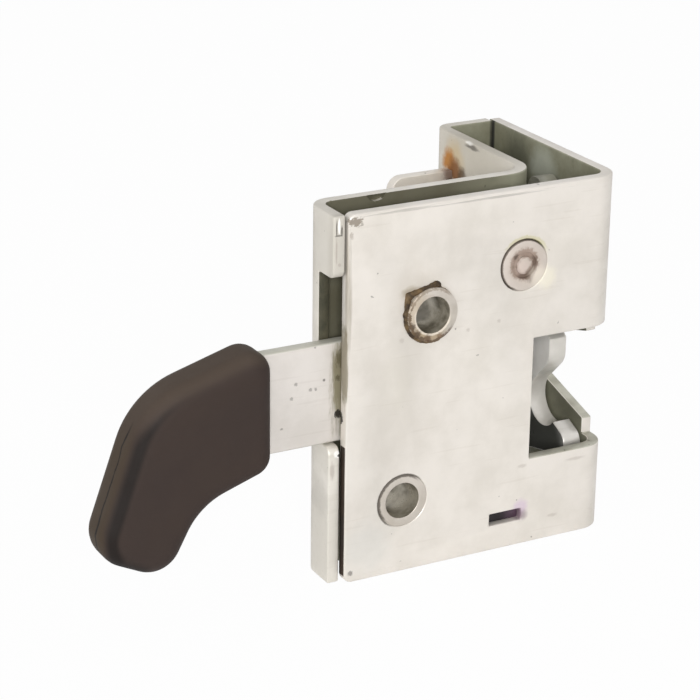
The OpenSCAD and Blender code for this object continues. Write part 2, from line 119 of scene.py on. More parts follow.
class NodeSheet:
    """Adds and links the nodes of one shader tree."""

    def __init__(self, tree: bpy.types.NodeTree) -> None:
        """Keeps the tree that nodes are added to."""
        self.tree = tree

    def add(self, kind: str, inputs: dict[Any, Any] | None = None, **settings: Any) -> bpy.types.Node:
        """Adds a node and fills its sockets.

        Args:
            kind: The node's type name.
            inputs: Socket name or index to a value, or to the socket that feeds it.
            settings: Properties of the node itself.

        Returns:
            The new node.
        """
        node = self.tree.nodes.new(kind)
        for key, value in settings.items():
            setattr(node, key, value)
        for key, value in (inputs or {}).items():
            if isinstance(value, bpy.types.NodeSocket):
                self.tree.links.new(value, node.inputs[key])
            else:
                node.inputs[key].default_value = value
        return node

    def math(self, operation: str, *values: Any) -> bpy.types.NodeSocket:
        """Adds a math node.

        Args:
            operation: The operation's name.
            values: Its numbers or sockets in order.

        Returns:
            The result's socket.
        """
        return self.add("ShaderNodeMath", dict(enumerate(values)), operation=operation).outputs[0]

    def vector(self, operation: str, *values: Any) -> bpy.types.Node:
        """Adds a vector math node.

        Args:
            operation: The operation's name.
            values: Its vectors or sockets in order.

        Returns:
            The node, whose first output is a vector and whose second is a number.
        """
        return self.add("ShaderNodeVectorMath", dict(enumerate(values)), operation=operation)

    def mix(self, factor: Any, first: Any, second: Any, blend: str = "MIX") -> bpy.types.NodeSocket:
        """Mixes two colours.

        Args:
            factor: Share of the second colour.
            first: First colour or socket.
            second: Second colour or socket.
            blend: Blend type.

        Returns:
            The mixed colour's socket.
        """
        values = {0: factor, 6: rgba(first), 7: rgba(second)}
        return self.add("ShaderNodeMix", values, data_type="RGBA", blend_type=blend).outputs[2]

    def span(self, value: Any, low: Any, high: Any, to_low: float = 0.0, to_high: float = 1.0) -> bpy.types.NodeSocket:
        """Maps a range smoothly onto another and holds it there.

        Args:
            value: The socket to map.
            low: Start of the range.
            high: End of the range.
            to_low: Value at the start.
            to_high: Value at the end.

        Returns:
            The mapped socket.
        """
        values = {0: value, 1: low, 2: high, 3: to_low, 4: to_high}
        return self.add("ShaderNodeMapRange", values, interpolation_type="SMOOTHSTEP").outputs[0]

    def noise(self, vector: Any, scale: Any, detail: float = 3.0, rough: float = 0.5) -> bpy.types.Node:
        """Adds a noise texture.

        Args:
            vector: Where it is read.
            scale: Waves to the metre.
            detail: Octaves.
            rough: Share of each finer octave.

        Returns:
            The noise node.
        """
        return self.add("ShaderNodeTexNoise", {"Vector": vector, "Scale": scale, "Detail": detail, "Roughness": rough})


def rgba(value: Any) -> Any:
    """Gives a plain colour its alpha and leaves a socket as it is."""
    return (*value, 1.0) if isinstance(value, tuple) and len(value) == 3 else value


def new_group(name: str, inputs: Iterable[tuple[str, str, Any]], outputs: Iterable[str]) -> tuple[NodeSheet, Any, Any]:
    """Starts a shader node group.

    Args:
        name: The group's name.
        inputs: Name, socket type and default of each input.
        outputs: Names of its float outputs.

    Returns:
        Its sheet, its input node and its output node.
    """
    tree = bpy.data.node_groups.new(name, "ShaderNodeTree")
    for label, kind, default in inputs:
        socket = tree.interface.new_socket(label, in_out="INPUT", socket_type=kind)
        if default is not None:
            socket.default_value = default
    for label in outputs:
        tree.interface.new_socket(label, in_out="OUTPUT", socket_type="NodeSocketFloat")
    sheet = NodeSheet(tree)
    return sheet, sheet.add("NodeGroupInput"), sheet.add("NodeGroupOutput")


class Effects:
    """Shader node groups that several finishes share."""

    def __init__(self) -> None:
        """Builds each group once."""
        self.clouds = self._clouds()
        self.specks = self._specks()
        self.spot = self._spot()
        self.ring = self._ring()
        self.grain = self._grain()
        self.scratches = self._scratches()

    def _clouds(self) -> bpy.types.NodeTree:
        """Makes soft blotches of two sizes."""
        sheet, given, out = new_group(
            "soft_blotches",
            [("Vector", "NodeSocketVector", None), ("Scale", "NodeSocketFloat", 60.0)],
            ["Mask"],
        )
        wide = sheet.noise(given.outputs["Vector"], given.outputs["Scale"], 2.0, 0.45)
        finer = sheet.math("MULTIPLY", given.outputs["Scale"], 4.3)
        small = sheet.noise(given.outputs["Vector"], finer, 4.0, 0.6)
        both = sheet.math("ADD", wide.outputs[0], sheet.math("MULTIPLY", small.outputs[0], 0.45))
        sheet.tree.links.new(sheet.span(both, 0.5, 0.95), out.inputs["Mask"])
        return sheet.tree

    def _specks(self) -> bpy.types.NodeTree:
        """Makes small scattered specks."""
        sheet, given, out = new_group(
            "scattered_specks",
            [
                ("Vector", "NodeSocketVector", None),
                ("Scale", "NodeSocketFloat", 400.0),
                ("Cover", "NodeSocketFloat", 0.1),
            ],
            ["Mask"],
        )
        bend = sheet.noise(given.outputs["Vector"], 900.0, 2.0)
        shift = sheet.vector("SCALE", bend.outputs["Color"])
        shift.inputs["Scale"].default_value = 0.0012
        place = sheet.vector("ADD", given.outputs["Vector"], shift.outputs[0])
        cells = sheet.add("ShaderNodeTexVoronoi", {"Vector": place.outputs[0], "Scale": given.outputs["Scale"]})
        pick = sheet.add("ShaderNodeSeparateColor", {0: cells.outputs["Color"]})
        chosen = sheet.math("LESS_THAN", pick.outputs[0], given.outputs["Cover"])
        size = sheet.math("MULTIPLY_ADD", pick.outputs[1], 0.3, 0.12)
        dot = sheet.math("SUBTRACT", 1.0, sheet.span(cells.outputs["Distance"], sheet.math("MULTIPLY", size, 0.5), size))
        sheet.tree.links.new(sheet.math("MULTIPLY", chosen, dot), out.inputs["Mask"])
        return sheet.tree

    def _spot(self) -> bpy.types.NodeTree:
        """Makes one stain with a ragged edge round a point, drawn out where its stretch is below 1."""
        sheet, given, out = new_group(
            "ragged_spot",
            [
                ("Vector", "NodeSocketVector", None),
                ("Centre", "NodeSocketVector", None),
                ("Stretch", "NodeSocketVector", None),
                ("Radius", "NodeSocketFloat", 0.004),
                ("Ragged", "NodeSocketFloat", 0.002),
                ("Core", "NodeSocketFloat", 0.35),
            ],
            ["Mask"],
        )
        offset = sheet.vector("SUBTRACT", given.outputs["Vector"], given.outputs["Centre"]).outputs[0]
        offset = sheet.vector("MULTIPLY", offset, given.outputs["Stretch"]).outputs[0]
        fineness = sheet.math("DIVIDE", 1.7, given.outputs["Radius"])
        stir = sheet.noise(offset, fineness, 4.0, 0.65)
        away = sheet.vector("LENGTH", offset).outputs["Value"]
        wobble = sheet.math("MULTIPLY", sheet.math("SUBTRACT", stir.outputs[0], 0.5), given.outputs["Ragged"])
        reach = sheet.math("ADD", away, wobble)
        inner = sheet.math("MULTIPLY", given.outputs["Radius"], given.outputs["Core"])
        sheet.tree.links.new(
            sheet.math("SUBTRACT", 1.0, sheet.span(reach, inner, given.outputs["Radius"])), out.inputs["Mask"]
        )
        return sheet.tree

    def _ring(self) -> bpy.types.NodeTree:
        """Makes a ragged ring round an axis along Y that fades on the side away from a direction."""
        sheet, given, out = new_group(
            "ragged_ring",
            [
                ("Vector", "NodeSocketVector", None),
                ("Centre", "NodeSocketVector", None),
                ("Toward", "NodeSocketVector", None),
                ("Spread", "NodeSocketFloat", 0.0),
                ("Radius", "NodeSocketFloat", 0.006),
                ("Width", "NodeSocketFloat", 0.0005),
                ("Ragged", "NodeSocketFloat", 0.0005),
            ],
            ["Mask"],
        )
        offset = sheet.vector("SUBTRACT", given.outputs["Vector"], given.outputs["Centre"]).outputs[0]
        offset = sheet.vector("MULTIPLY", offset, (1.0, 0.0, 1.0)).outputs[0]
        stir = sheet.noise(offset, 900.0, 4.0, 0.65)
        wobble = sheet.math("MULTIPLY", sheet.math("SUBTRACT", stir.outputs[0], 0.5), given.outputs["Ragged"])
        away = sheet.math("SUBTRACT", sheet.vector("LENGTH", offset).outputs["Value"], given.outputs["Radius"])
        miss = sheet.math("ADD", sheet.math("ABSOLUTE", away), wobble)
        inner = sheet.math("MULTIPLY", given.outputs["Width"], 0.4)
        line = sheet.math("SUBTRACT", 1.0, sheet.span(miss, inner, given.outputs["Width"]))
        way = sheet.vector("NORMALIZE", offset).outputs[0]
        side = sheet.vector("DOT_PRODUCT", way, given.outputs["Toward"]).outputs["Value"]
        low = sheet.math("SUBTRACT", given.outputs["Spread"], 0.25)
        high = sheet.math("ADD", given.outputs["Spread"], 0.25)
        sheet.tree.links.new(sheet.math("MULTIPLY", line, sheet.span(side, low, high)), out.inputs["Mask"])
        return sheet.tree

    def _grain(self) -> bpy.types.NodeTree:
        """Makes the fine grain of a plated or moulded surface."""
        sheet, given, out = new_group(
            "fine_grain",
            [("Vector", "NodeSocketVector", None), ("Scale", "NodeSocketFloat", 2500.0)],
            ["Height"],
        )
        fine = sheet.noise(given.outputs["Vector"], given.outputs["Scale"], 2.0, 0.6)
        broad = sheet.noise(given.outputs["Vector"], sheet.math("MULTIPLY", given.outputs["Scale"], 0.12), 2.0, 0.5)
        total = sheet.math("ADD", sheet.math("MULTIPLY", fine.outputs[0], 0.5), broad.outputs[0])
        sheet.tree.links.new(total, out.inputs["Height"])
        return sheet.tree

    def _scratches(self) -> bpy.types.NodeTree:
        """Makes a few thin straight handling marks."""
        sheet, given, out = new_group(
            "handling_marks",
            [("Vector", "NodeSocketVector", None), ("Scale", "NodeSocketFloat", 90.0)],
            ["Mask"],
        )
        marks = []
        for turn, stretch in ((0.5, 0.05), (-0.35, 0.07), (1.25, 0.06)):
            place = sheet.add(
                "ShaderNodeMapping",
                {"Vector": given.outputs["Vector"], "Rotation": (0.0, turn, 0.0), "Scale": (stretch, 1.0, 1.0)},
            )
            lines = sheet.noise(place.outputs[0], sheet.math("MULTIPLY", given.outputs["Scale"], 9.0), 1.0, 0.4)
            marks.append(sheet.span(lines.outputs[0], 0.69, 0.74))
        most = sheet.math("MAXIMUM", marks[0], sheet.math("MAXIMUM", marks[1], marks[2]))
        sheet.tree.links.new(most, out.inputs["Mask"])
        return sheet.tree


@dataclass(frozen=True)
class Stain:
    """A local mark: where it lies and how far it reaches in millimetres, its colour and its strength."""

    at: Point
    reach: float
    colour: Colour
    strength: float = 0.8
    ragged: float = 2.5
    stretch: Point = (1.0, 1.0, 1.0)
    core: float = 0.35


@dataclass(frozen=True)
class Ring:
    """A ring-shaped mark round an axis along Y: its place and size in millimetres, its colour and its strong side."""

    at: Point
    radius: float
    width: float
    colour: Colour
    strength: float = 0.9
    ragged: float = 0.6
    toward: Point = (0.0, 0.0, 0.0)
    spread: float = -2.0


@dataclass(frozen=True)
class MetalFinish:
    """A plated or bare metal: its colours, its gloss and its marks."""

    name: str
    bright: Colour
    dull: Colour
    metallic: float = 0.35
    rough: tuple[float, float] = (0.32, 0.5)
    blotch_scale: float = 60.0
    grain_scale: float = 2600.0
    grain_depth: float = 0.05
    speck_colour: Colour = srgb(70, 62, 55)
    speck_scale: float = 800.0
    speck_cover: float = 0.012
    speck_strength: float = 0.5
    scratch: float = 0.12
    stains: tuple[Stain | Ring, ...] = ()

    def make(self, effects: Effects) -> bpy.types.Material:
        """Builds the material.

        Args:
            effects: The shared node groups.

        Returns:
            The new material.
        """
        material = bpy.data.materials.new(self.name)
        material.use_nodes = True
        material.node_tree.nodes.clear()
        sheet = NodeSheet(material.node_tree)
        where = sheet.add("ShaderNodeTexCoord").outputs["Object"]
        blotch = self._place(sheet, effects.clouds, {"Vector": where, "Scale": self.blotch_scale}).outputs[0]
        grain = self._place(sheet, effects.grain, {"Vector": where, "Scale": self.grain_scale}).outputs[0]
        specks = self._place(
            sheet, effects.specks, {"Vector": where, "Scale": self.speck_scale, "Cover": self.speck_cover}
        ).outputs[0]
        marks = self._place(sheet, effects.scratches, {"Vector": where}).outputs[0]
        colour = sheet.mix(blotch, self.bright, self.dull)
        colour = sheet.mix(sheet.math("MULTIPLY", marks, self.scratch), colour, self.dull, "MULTIPLY")
        colour = sheet.mix(sheet.math("MULTIPLY", specks, self.speck_strength), colour, self.speck_colour)
        shine: Any = sheet.math("SUBTRACT", 1.0, sheet.math("MULTIPLY", specks, 0.8))
        for stain in self.stains:
            colour, shine = self._stain(sheet, effects, stain, where, colour, shine)
        metallic = sheet.math("MULTIPLY", shine, self.metallic)
        low, high = self.rough
        rough = sheet.span(sheet.math("ADD", blotch, sheet.math("MULTIPLY", grain, 0.35)), 0.0, 1.4, low, high)
        rough = sheet.math("ADD", rough, sheet.math("MULTIPLY", sheet.math("SUBTRACT", 1.0, shine), 0.35))
        bump = sheet.add(
            "ShaderNodeBump", {"Strength": self.grain_depth, "Distance": 0.0002, "Height": grain}
        )
        shader = sheet.add(
            "ShaderNodeBsdfPrincipled",
            {"Base Color": colour, "Metallic": metallic, "Roughness": rough, "Normal": bump.outputs[0]},
        )
        sheet.add("ShaderNodeOutputMaterial", {"Surface": shader.outputs[0]})
        return material

    @staticmethod
    def _place(sheet: NodeSheet, group: bpy.types.NodeTree, values: dict[str, Any]) -> bpy.types.Node:
        """Puts a shared group into a tree and fills its inputs.

        Args:
            sheet: The material's sheet.
            group: The group to place.
            values: Its input values or sockets.

        Returns:
            The group's node.
        """
        node = sheet.add("ShaderNodeGroup", node_tree=group)
        for key, value in values.items():
            if isinstance(value, bpy.types.NodeSocket):
                sheet.tree.links.new(value, node.inputs[key])
            else:
                node.inputs[key].default_value = value
        return node

    def _stain(
        self, sheet: NodeSheet, effects: Effects, stain: Stain | Ring, where: Any, colour: Any, shine: Any
    ) -> tuple[Any, Any]:
        """Lays one mark over the colour and takes the metal's shine off it.

        Args:
            sheet: The material's sheet.
            effects: The shared node groups.
            stain: The mark.
            where: Object coordinates.
            colour: Colour so far.
            shine: Share of bare metal so far.

        Returns:
            The new colour and the new shine.
        """
        values = {"Vector": where, "Centre": tuple(v * MM for v in stain.at), "Ragged": stain.ragged * MM}
        if isinstance(stain, Ring):
            group = effects.ring
            values |= {"Toward": stain.toward, "Spread": stain.spread}
            values |= {"Radius": stain.radius * MM, "Width": stain.width * MM}
        else:
            group = effects.spot
            values |= {"Stretch": stain.stretch, "Radius": stain.reach * MM, "Core": stain.core}
        mask = sheet.math("MULTIPLY", self._place(sheet, group, values).outputs[0], stain.strength)
        colour = sheet.mix(mask, colour, stain.colour)
        return colour, sheet.math("MULTIPLY", shine, sheet.math("SUBTRACT", 1.0, mask))


@dataclass(frozen=True)
class GripFinish:
    """Dark moulded plastic: fine grain and worn blotches, with painted light on its top and left flank, painted shade
    in the fold where the front rounds into the flank, and a parting line on its long left flank painted dark as the
    shade of its groove.
    """

    name: str = "grip_moulded_plastic"
    face: Colour = srgb(55, 45, 41)
    worn: Colour = srgb(64, 53, 47)
    crown_light: Colour = srgb(78, 67, 58)
    flank_light: Colour = srgb(66, 55, 42)
    fold_shade: Colour = srgb(20, 14, 11)
    line: Colour = srgb(10, 7, 6)
    line_y: float = 4.4
    line_half: float = 0.55
    line_top: float = -16.5
    line_low: float = -46.0
    line_right: float = -66.0

    def make(self, effects: Effects) -> bpy.types.Material:
        """Builds the material.

        Args:
            effects: The shared node groups.

        Returns:
            The new material.
        """
        material = bpy.data.materials.new(self.name)
        material.use_nodes = True
        material.node_tree.nodes.clear()
        sheet = NodeSheet(material.node_tree)
        where = sheet.add("ShaderNodeTexCoord").outputs["Object"]
        place = MetalFinish._place
        blotch = place(sheet, effects.clouds, {"Vector": where, "Scale": 45.0}).outputs[0]
        grain = place(sheet, effects.grain, {"Vector": where, "Scale": 2200.0}).outputs[0]
        axes = sheet.add("ShaderNodeSeparateXYZ", {0: where})
        wander = sheet.noise(where, 260.0, 3.0)
        off = sheet.math("SUBTRACT", axes.outputs["Y"], self.line_y * MM)
        off = sheet.math("ADD", off, sheet.math("MULTIPLY", sheet.math("SUBTRACT", wander.outputs[0], 0.5), 0.0022))
        thin = sheet.math("SUBTRACT", 1.0, sheet.span(sheet.math("ABSOLUTE", off), 0.0, self.line_half * MM))
        below = sheet.span(axes.outputs["Z"], (self.line_top + 2) * MM, (self.line_top - 2) * MM)
        above = sheet.span(axes.outputs["Z"], (self.line_low - 2) * MM, (self.line_low + 2) * MM)
        left = sheet.span(axes.outputs["X"], (self.line_right + 2) * MM, (self.line_right - 1) * MM)
        seam = sheet.math("MULTIPLY", sheet.math("MULTIPLY", thin, left), sheet.math("MULTIPLY", below, above))
        facing = sheet.add("ShaderNodeSeparateXYZ", {0: sheet.add("ShaderNodeTexCoord").outputs["Normal"]})
        leftward = sheet.math("MULTIPLY", facing.outputs["X"], -1.0)
        band = sheet.math("MULTIPLY", sheet.span(leftward, 0.08, 0.42), sheet.span(leftward, 0.92, 0.6))
        band = sheet.math("MULTIPLY", band, sheet.span(facing.outputs["Z"], 0.55, 0.25))
        colour = sheet.mix(sheet.math("MULTIPLY", blotch, 0.5), self.face, self.worn)
        # Painted light: the left flank and the top are coloured lighter by the way they face.
        colour = sheet.mix(sheet.span(leftward, 0.7, 0.98, 0.0, 0.8), colour, self.flank_light)
        colour = sheet.mix(sheet.span(facing.outputs["Z"], 0.25, 0.8, 0.0, 0.8), colour, self.crown_light)
        # Painted shade: a dark fold where the front rounds into the left flank.
        colour = sheet.mix(sheet.math("MULTIPLY", band, 0.9), colour, self.fold_shade)
        # Painted shade: the dark parting line on the long left flank, in place of its groove's shade.
        colour = sheet.mix(seam, colour, self.line)
        rough = sheet.span(sheet.math("ADD", blotch, grain), 0.2, 2.0, 0.58, 0.74)
        bump = sheet.add("ShaderNodeBump", {"Strength": 0.12, "Distance": 0.0002, "Height": grain})
        shader = sheet.add(
            "ShaderNodeBsdfPrincipled", {"Base Color": colour, "Roughness": rough, "Normal": bump.outputs[0]}
        )
        shader.inputs["Specular IOR Level"].default_value = 0.22
        sheet.add("ShaderNodeOutputMaterial", {"Surface": shader.outputs[0]})
        return material


RUST_ORANGE = srgb(168, 100, 38)
RUST_BROWN = srgb(98, 62, 38)
# Dark brown for grime specks and marks; also painted shade under the front plate's rolled top edge.
GRIME_AND_SHADE = srgb(52, 44, 38)
OLIVE = srgb(196, 190, 128)
FAINT = srgb(176, 166, 156)

PLATE_FINISH = MetalFinish(
    name="zinc_front",
    bright=srgb(229, 223, 215),
    dull=srgb(217, 211, 202),
    stains=(
        Stain((-16.0, 0.0, -57.0), 9.0, srgb(208, 207, 202), 0.45, 6.0),
        Stain((-3.5, 0.0, 5.0), 9.5, srgb(206, 198, 186), 0.45, 5.0),
        Stain((31.5, 0.0, 4.0), 4.0, srgb(238, 232, 210), 0.5, 3.0),
        Stain((27.0, 0.0, -55.0), 2.8, srgb(206, 186, 204), 0.7, 1.6),
        Stain((27.6, 1.5, -57.2), 2.6, srgb(104, 76, 96), 0.85, 0.6, (1.0, 1.0, 1.0)),
        # Dark arc round the upper-left side of the rivet head: painted shadow of the head's edge.
        Ring((25.3, 0.0, 8.1), 6.38, 0.3, srgb(70, 58, 42), 0.9, 0.35, (-0.8, 0.0, 0.6), -0.25),
        Ring((25.3, 0.0, 8.1), 6.8, 0.7, OLIVE, 0.45, 1.6, (0.1, 0.0, 0.99), 0.6),
        # Dark arc on the upper left round the lower bush: painted shadow in the gap between bush and hole.
        Ring((-6.5, 0.0, -46.4), 6.7, 0.35, srgb(84, 78, 66), 0.7, 0.4, (-0.8, 0.0, 0.6), -0.1),
        Stain((-20.3, 0.0, 25.1), 1.5, srgb(112, 98, 80), 0.75, 4.0, (0.6, 1.0, 1.2), 0.6),
        Stain((-21.2, 0.0, 22.0), 0.6, FAINT, 0.7, 1.4, (1.0, 1.0, 0.6), 0.6),
        # Thin dark lines under the rolled top edge: painted shade at the roll's lower boundary.
        Stain((-6.0, 0.3, 26.2), 0.4, GRIME_AND_SHADE, 0.3, 1.0, (0.03, 0.3, 1.0)),
        Stain((18.0, 0.3, 26.0), 0.35, GRIME_AND_SHADE, 0.35, 0.9, (0.018, 0.3, 1.0)),
        # Olive-brown on the plate's left edge beside the lever bar: painted shade where the parts meet, with grime.
        Stain((-22.0, 1.9, -10.0), 2.8, srgb(108, 98, 68), 0.75, 4.0, (5.0, 0.6, 0.25), 0.5),
        Stain((-22.0, 3.0, -23.2), 1.4, srgb(30, 24, 14), 0.95, 1.8, (3.0, 1.0, 0.8), 0.8),
        # Dark line on the plate's left edge beside the upper tab: painted shade of the gap between them.
        Stain((-21.6, 0.6, 8.0), 1.2, srgb(128, 116, 92), 0.55, 1.2, (1.0, 1.0, 0.06)),
        Stain((-5.2, 0.0, 5.9), 3.0, srgb(150, 134, 104), 0.6, 2.0, (0.8, 1.0, 1.4)),
        Stain((-9.0, 0.0, -16.0), 8.0, srgb(208, 203, 192), 0.4, 6.0, (1.3, 1.0, 0.8)),
        Stain((27.0, 0.0, -44.0), 1.1, FAINT, 0.4, 1.2, (0.6, 1.0, 1.6)),
        Stain((42.5, 0.0, -45.0), 1.1, FAINT, 0.4, 1.2, (0.3, 1.0, 1.8)),
        Stain((36.4, 0.0, -59.1), 1.0, FAINT, 0.4, 1.2, (0.5, 1.0, 1.6)),
        Stain((-7.6, 0.0, -5.5), 0.9, FAINT, 0.35, 1.0),
        Stain((10.3, 0.0, -5.8), 0.7, FAINT, 0.4, 1.0),
        Stain((18.8, 0.0, -4.9), 0.7, FAINT, 0.4, 1.0),
        Stain((-20.4, 0.0, -62.6), 0.8, GRIME_AND_SHADE, 0.6, 1.2, core=0.6),
    ),
)
# Inside faces: an olive tint with oil, darkened further as painted shade inside the housing.
INNER_TINT_AND_SHADE_FINISH = MetalFinish(
    name="zinc_inside_tint_and_painted_shade",
    bright=srgb(162, 161, 140),
    dull=srgb(128, 126, 106),
    metallic=0.25,
    rough=(0.4, 0.6),
    blotch_scale=45.0,
    stains=(
        # Painted shade over the upper inside of the web.
        Stain((-6.0, 11.5, 24.0), 42.0, srgb(84, 79, 60), 0.8, 6.0, (1.0, 1.0, 0.6)),
        # Painted shade: a dark line along the rear inside corner.
        Stain((49.0, 54.0, 12.0), 1.3, srgb(28, 28, 22), 0.95, 0.3, (1.0, 1.0, 0.03)),
        # Painted shade inside the claw box.
        Stain((49.0, 42.0, 18.0), 9.0, srgb(70, 70, 54), 0.75, 4.0, (1.0, 1.0, 0.8)),
        # Painted highlight: light in the middle of the flange's inside.
        Stain((49.0, 30.0, 21.0), 8.0, srgb(190, 194, 182), 0.55, 5.0, (1.0, 1.0, 1.3)),
        # Painted shade low on the flange's inside by the striker mouth.
        Stain((49.0, 12.0, -28.0), 26.0, srgb(84, 83, 68), 0.85, 5.0),
    ),
)
SHELL_FINISH = MetalFinish(
    name="zinc_back",
    bright=srgb(231, 226, 217),
    dull=srgb(217, 212, 202),
    stains=(
        Stain((33.0, 36.0, 20.0), 30.0, srgb(188, 181, 166), 0.7, 8.0),
        Stain((33.0, 46.5, 20.6), 6.5, srgb(200, 172, 116), 0.5, 4.0),
        Stain((33.0, 48.8, 19.6), 4.2, srgb(176, 116, 44), 0.95, 3.5),
        Stain((33.0, 46.0, 17.6), 4.6, srgb(124, 78, 36), 0.92, 3.5),
        Stain((33.0, 42.4, 17.4), 2.8, srgb(84, 62, 36), 0.85, 2.5),
        Stain((33.0, 38.0, 26.0), 0.9, GRIME_AND_SHADE, 0.7, 0.9, (1.0, 0.22, 1.0)),
        # Painted highlight on the box's top edge.
        Stain((33.0, 39.4, 26.9), 0.9, srgb(246, 243, 236), 0.8, 0.8, (1.0, 0.4, 1.0)),
        # Painted highlight on the lower tab's top corner.
        Stain((-23.3, 1.7, -31.9), 1.1, srgb(252, 250, 246), 0.9, 0.8, (1.0, 1.0, 1.0), 0.6),
        Stain((-22.9, 1.9, -32.2), 0.4, GRIME_AND_SHADE, 0.9, 0.5, (1.0, 1.0, 1.0), 0.7),
        Stain((-24.6, 1.8, -36.0), 0.9, FAINT, 0.6, 0.8, (1.0, 1.0, 0.3)),
        # Painted shade: the upper tab's front strip painted darker than the front plate.
        Stain((-23.8, 0.4, 18.0), 11.0, srgb(188, 182, 170), 0.7, 4.0, (1.0, 3.0, 0.6)),
        # Painted shade on the upper left wall, which faces sideways.
        Stain((-25.6, 5.0, 18.0), 17.0, srgb(200, 195, 185), 0.6, 6.0),
        # Painted highlight: a bright streak on the upper tab's rounded front corner.
        Stain((-24.2, 0.4, 24.6), 0.9, srgb(252, 250, 246), 0.9, 0.6, (2.2, 1.0, 0.4), 0.6),
        Stain((-24.8, 0.5, 24.2), 0.6, GRIME_AND_SHADE, 0.8, 0.8, (3.0, 1.0, 0.25), 0.7),
        Stain((-23.5, 0.4, 23.4), 0.5, GRIME_AND_SHADE, 0.8, 0.8, (2.0, 1.0, 0.35), 0.7),
        Stain((-24.3, 0.4, 22.4), 0.5, GRIME_AND_SHADE, 0.6, 0.8, (0.45, 1.0, 2.0), 0.7),
        Stain((-24.8, 0.4, 18.6), 0.35, FAINT, 0.8, 0.6, (1.5, 0.6, 0.1), 0.7),
        Stain((-24.0, 0.4, 15.4), 0.6, FAINT, 0.7, 0.8),
        # Painted shade on the lower left wall, which faces sideways.
        Stain((-25.6, 6.0, -44.0), 6.0, srgb(200, 196, 188), 0.4, 5.0),
    ),
)
# Dark brown on the plate's edge in the gap beside the lower tab: painted shade, with grime.
GAP_SHADE_AND_GRIME_FINISH = MetalFinish(
    name="zinc_gap_shade_and_grime",
    bright=srgb(54, 41, 32),
    dull=srgb(33, 25, 20),
    metallic=0.1,
    rough=(0.6, 0.8),
    blotch_scale=120.0,
)
# Dark olive on the rear edge of the lever's slot: painted shade in the slot, with oil.
SLOT_SHADE_AND_OIL_FINISH = MetalFinish(
    name="zinc_slot_edge_shade_and_oil",
    bright=srgb(92, 88, 70),
    dull=srgb(52, 52, 40),
    metallic=0.2,
    rough=(0.5, 0.7),
    blotch_scale=90.0,
)
SHEARED_FINISH = MetalFinish(
    name="zinc_sheared",
    bright=srgb(200, 198, 184),
    dull=srgb(172, 169, 154),
    blotch_scale=120.0,
    speck_cover=0.16,
    speck_strength=0.6,
    stains=(
        Stain((38.0, 1.5, -37.6), 6.0, srgb(120, 112, 86), 0.6, 4.0, (0.5, 1.0, 1.0)),
        Stain((37.0, 2.8, -37.6), 1.3, GRIME_AND_SHADE, 0.8, 2.6, (0.22, 1.0, 1.0), 0.6),
    ),
)
# The lug's zinc is painted lighter than the other sheet as painted light on its front face; the stain is real rust.
LUG_FINISH = MetalFinish(
    name="zinc_lug",
    bright=srgb(238, 232, 222),
    dull=srgb(224, 217, 207),
    stains=(Stain((32.8, 47.0, 16.6), 3.4, RUST_BROWN, 0.8, 2.5),),
)
BUSH_FINISH = MetalFinish(
    name="bush_plated",
    bright=srgb(208, 200, 191),
    dull=srgb(184, 176, 164),
    rough=(0.28, 0.45),
    stains=(
        Stain((-4.2, -1.2, 0.6), 7.0, srgb(190, 173, 148), 0.65, 4.0),
        Stain((-2.0, -1.2, -5.6), 5.2, srgb(160, 136, 100), 0.7, 3.0, (0.7, 1.0, 1.3)),
        Ring((0.0, 0.0, 0.0), 6.35, 0.55, srgb(70, 50, 33), 0.8, 2.2, (-0.55, 0.0, -0.83), 0.1),
        Ring((0.0, 0.0, 0.0), 4.75, 0.4, srgb(226, 216, 200), 0.8, 0.5, (-0.3, 0.0, -0.95), 0.0),
        Stain((-5.6, -1.2, -2.2), 1.3, srgb(66, 48, 32), 0.85, 1.8),
        Stain((-4.2, -1.2, -4.2), 1.4, srgb(66, 48, 32), 0.85, 1.8),
        Stain((-1.4, -1.2, -5.6), 1.3, srgb(84, 60, 40), 0.8, 1.8),
        Stain((1.8, -1.2, -5.4), 1.0, srgb(110, 84, 58), 0.7, 1.6),
        Ring((0.0, 0.0, 0.0), 6.3, 0.4, srgb(110, 88, 60), 0.5, 1.8, (-0.7, 0.0, 0.7), 0.0),
        # Dark arc on the upper left of the lower bush's rim: painted shadow in the gap round it.
        Ring((-6.5, 0.0, -46.4), 6.5, 0.6, srgb(66, 58, 48), 0.85, 0.9, (-0.75, 0.0, 0.66), 0.1),
    ),
)
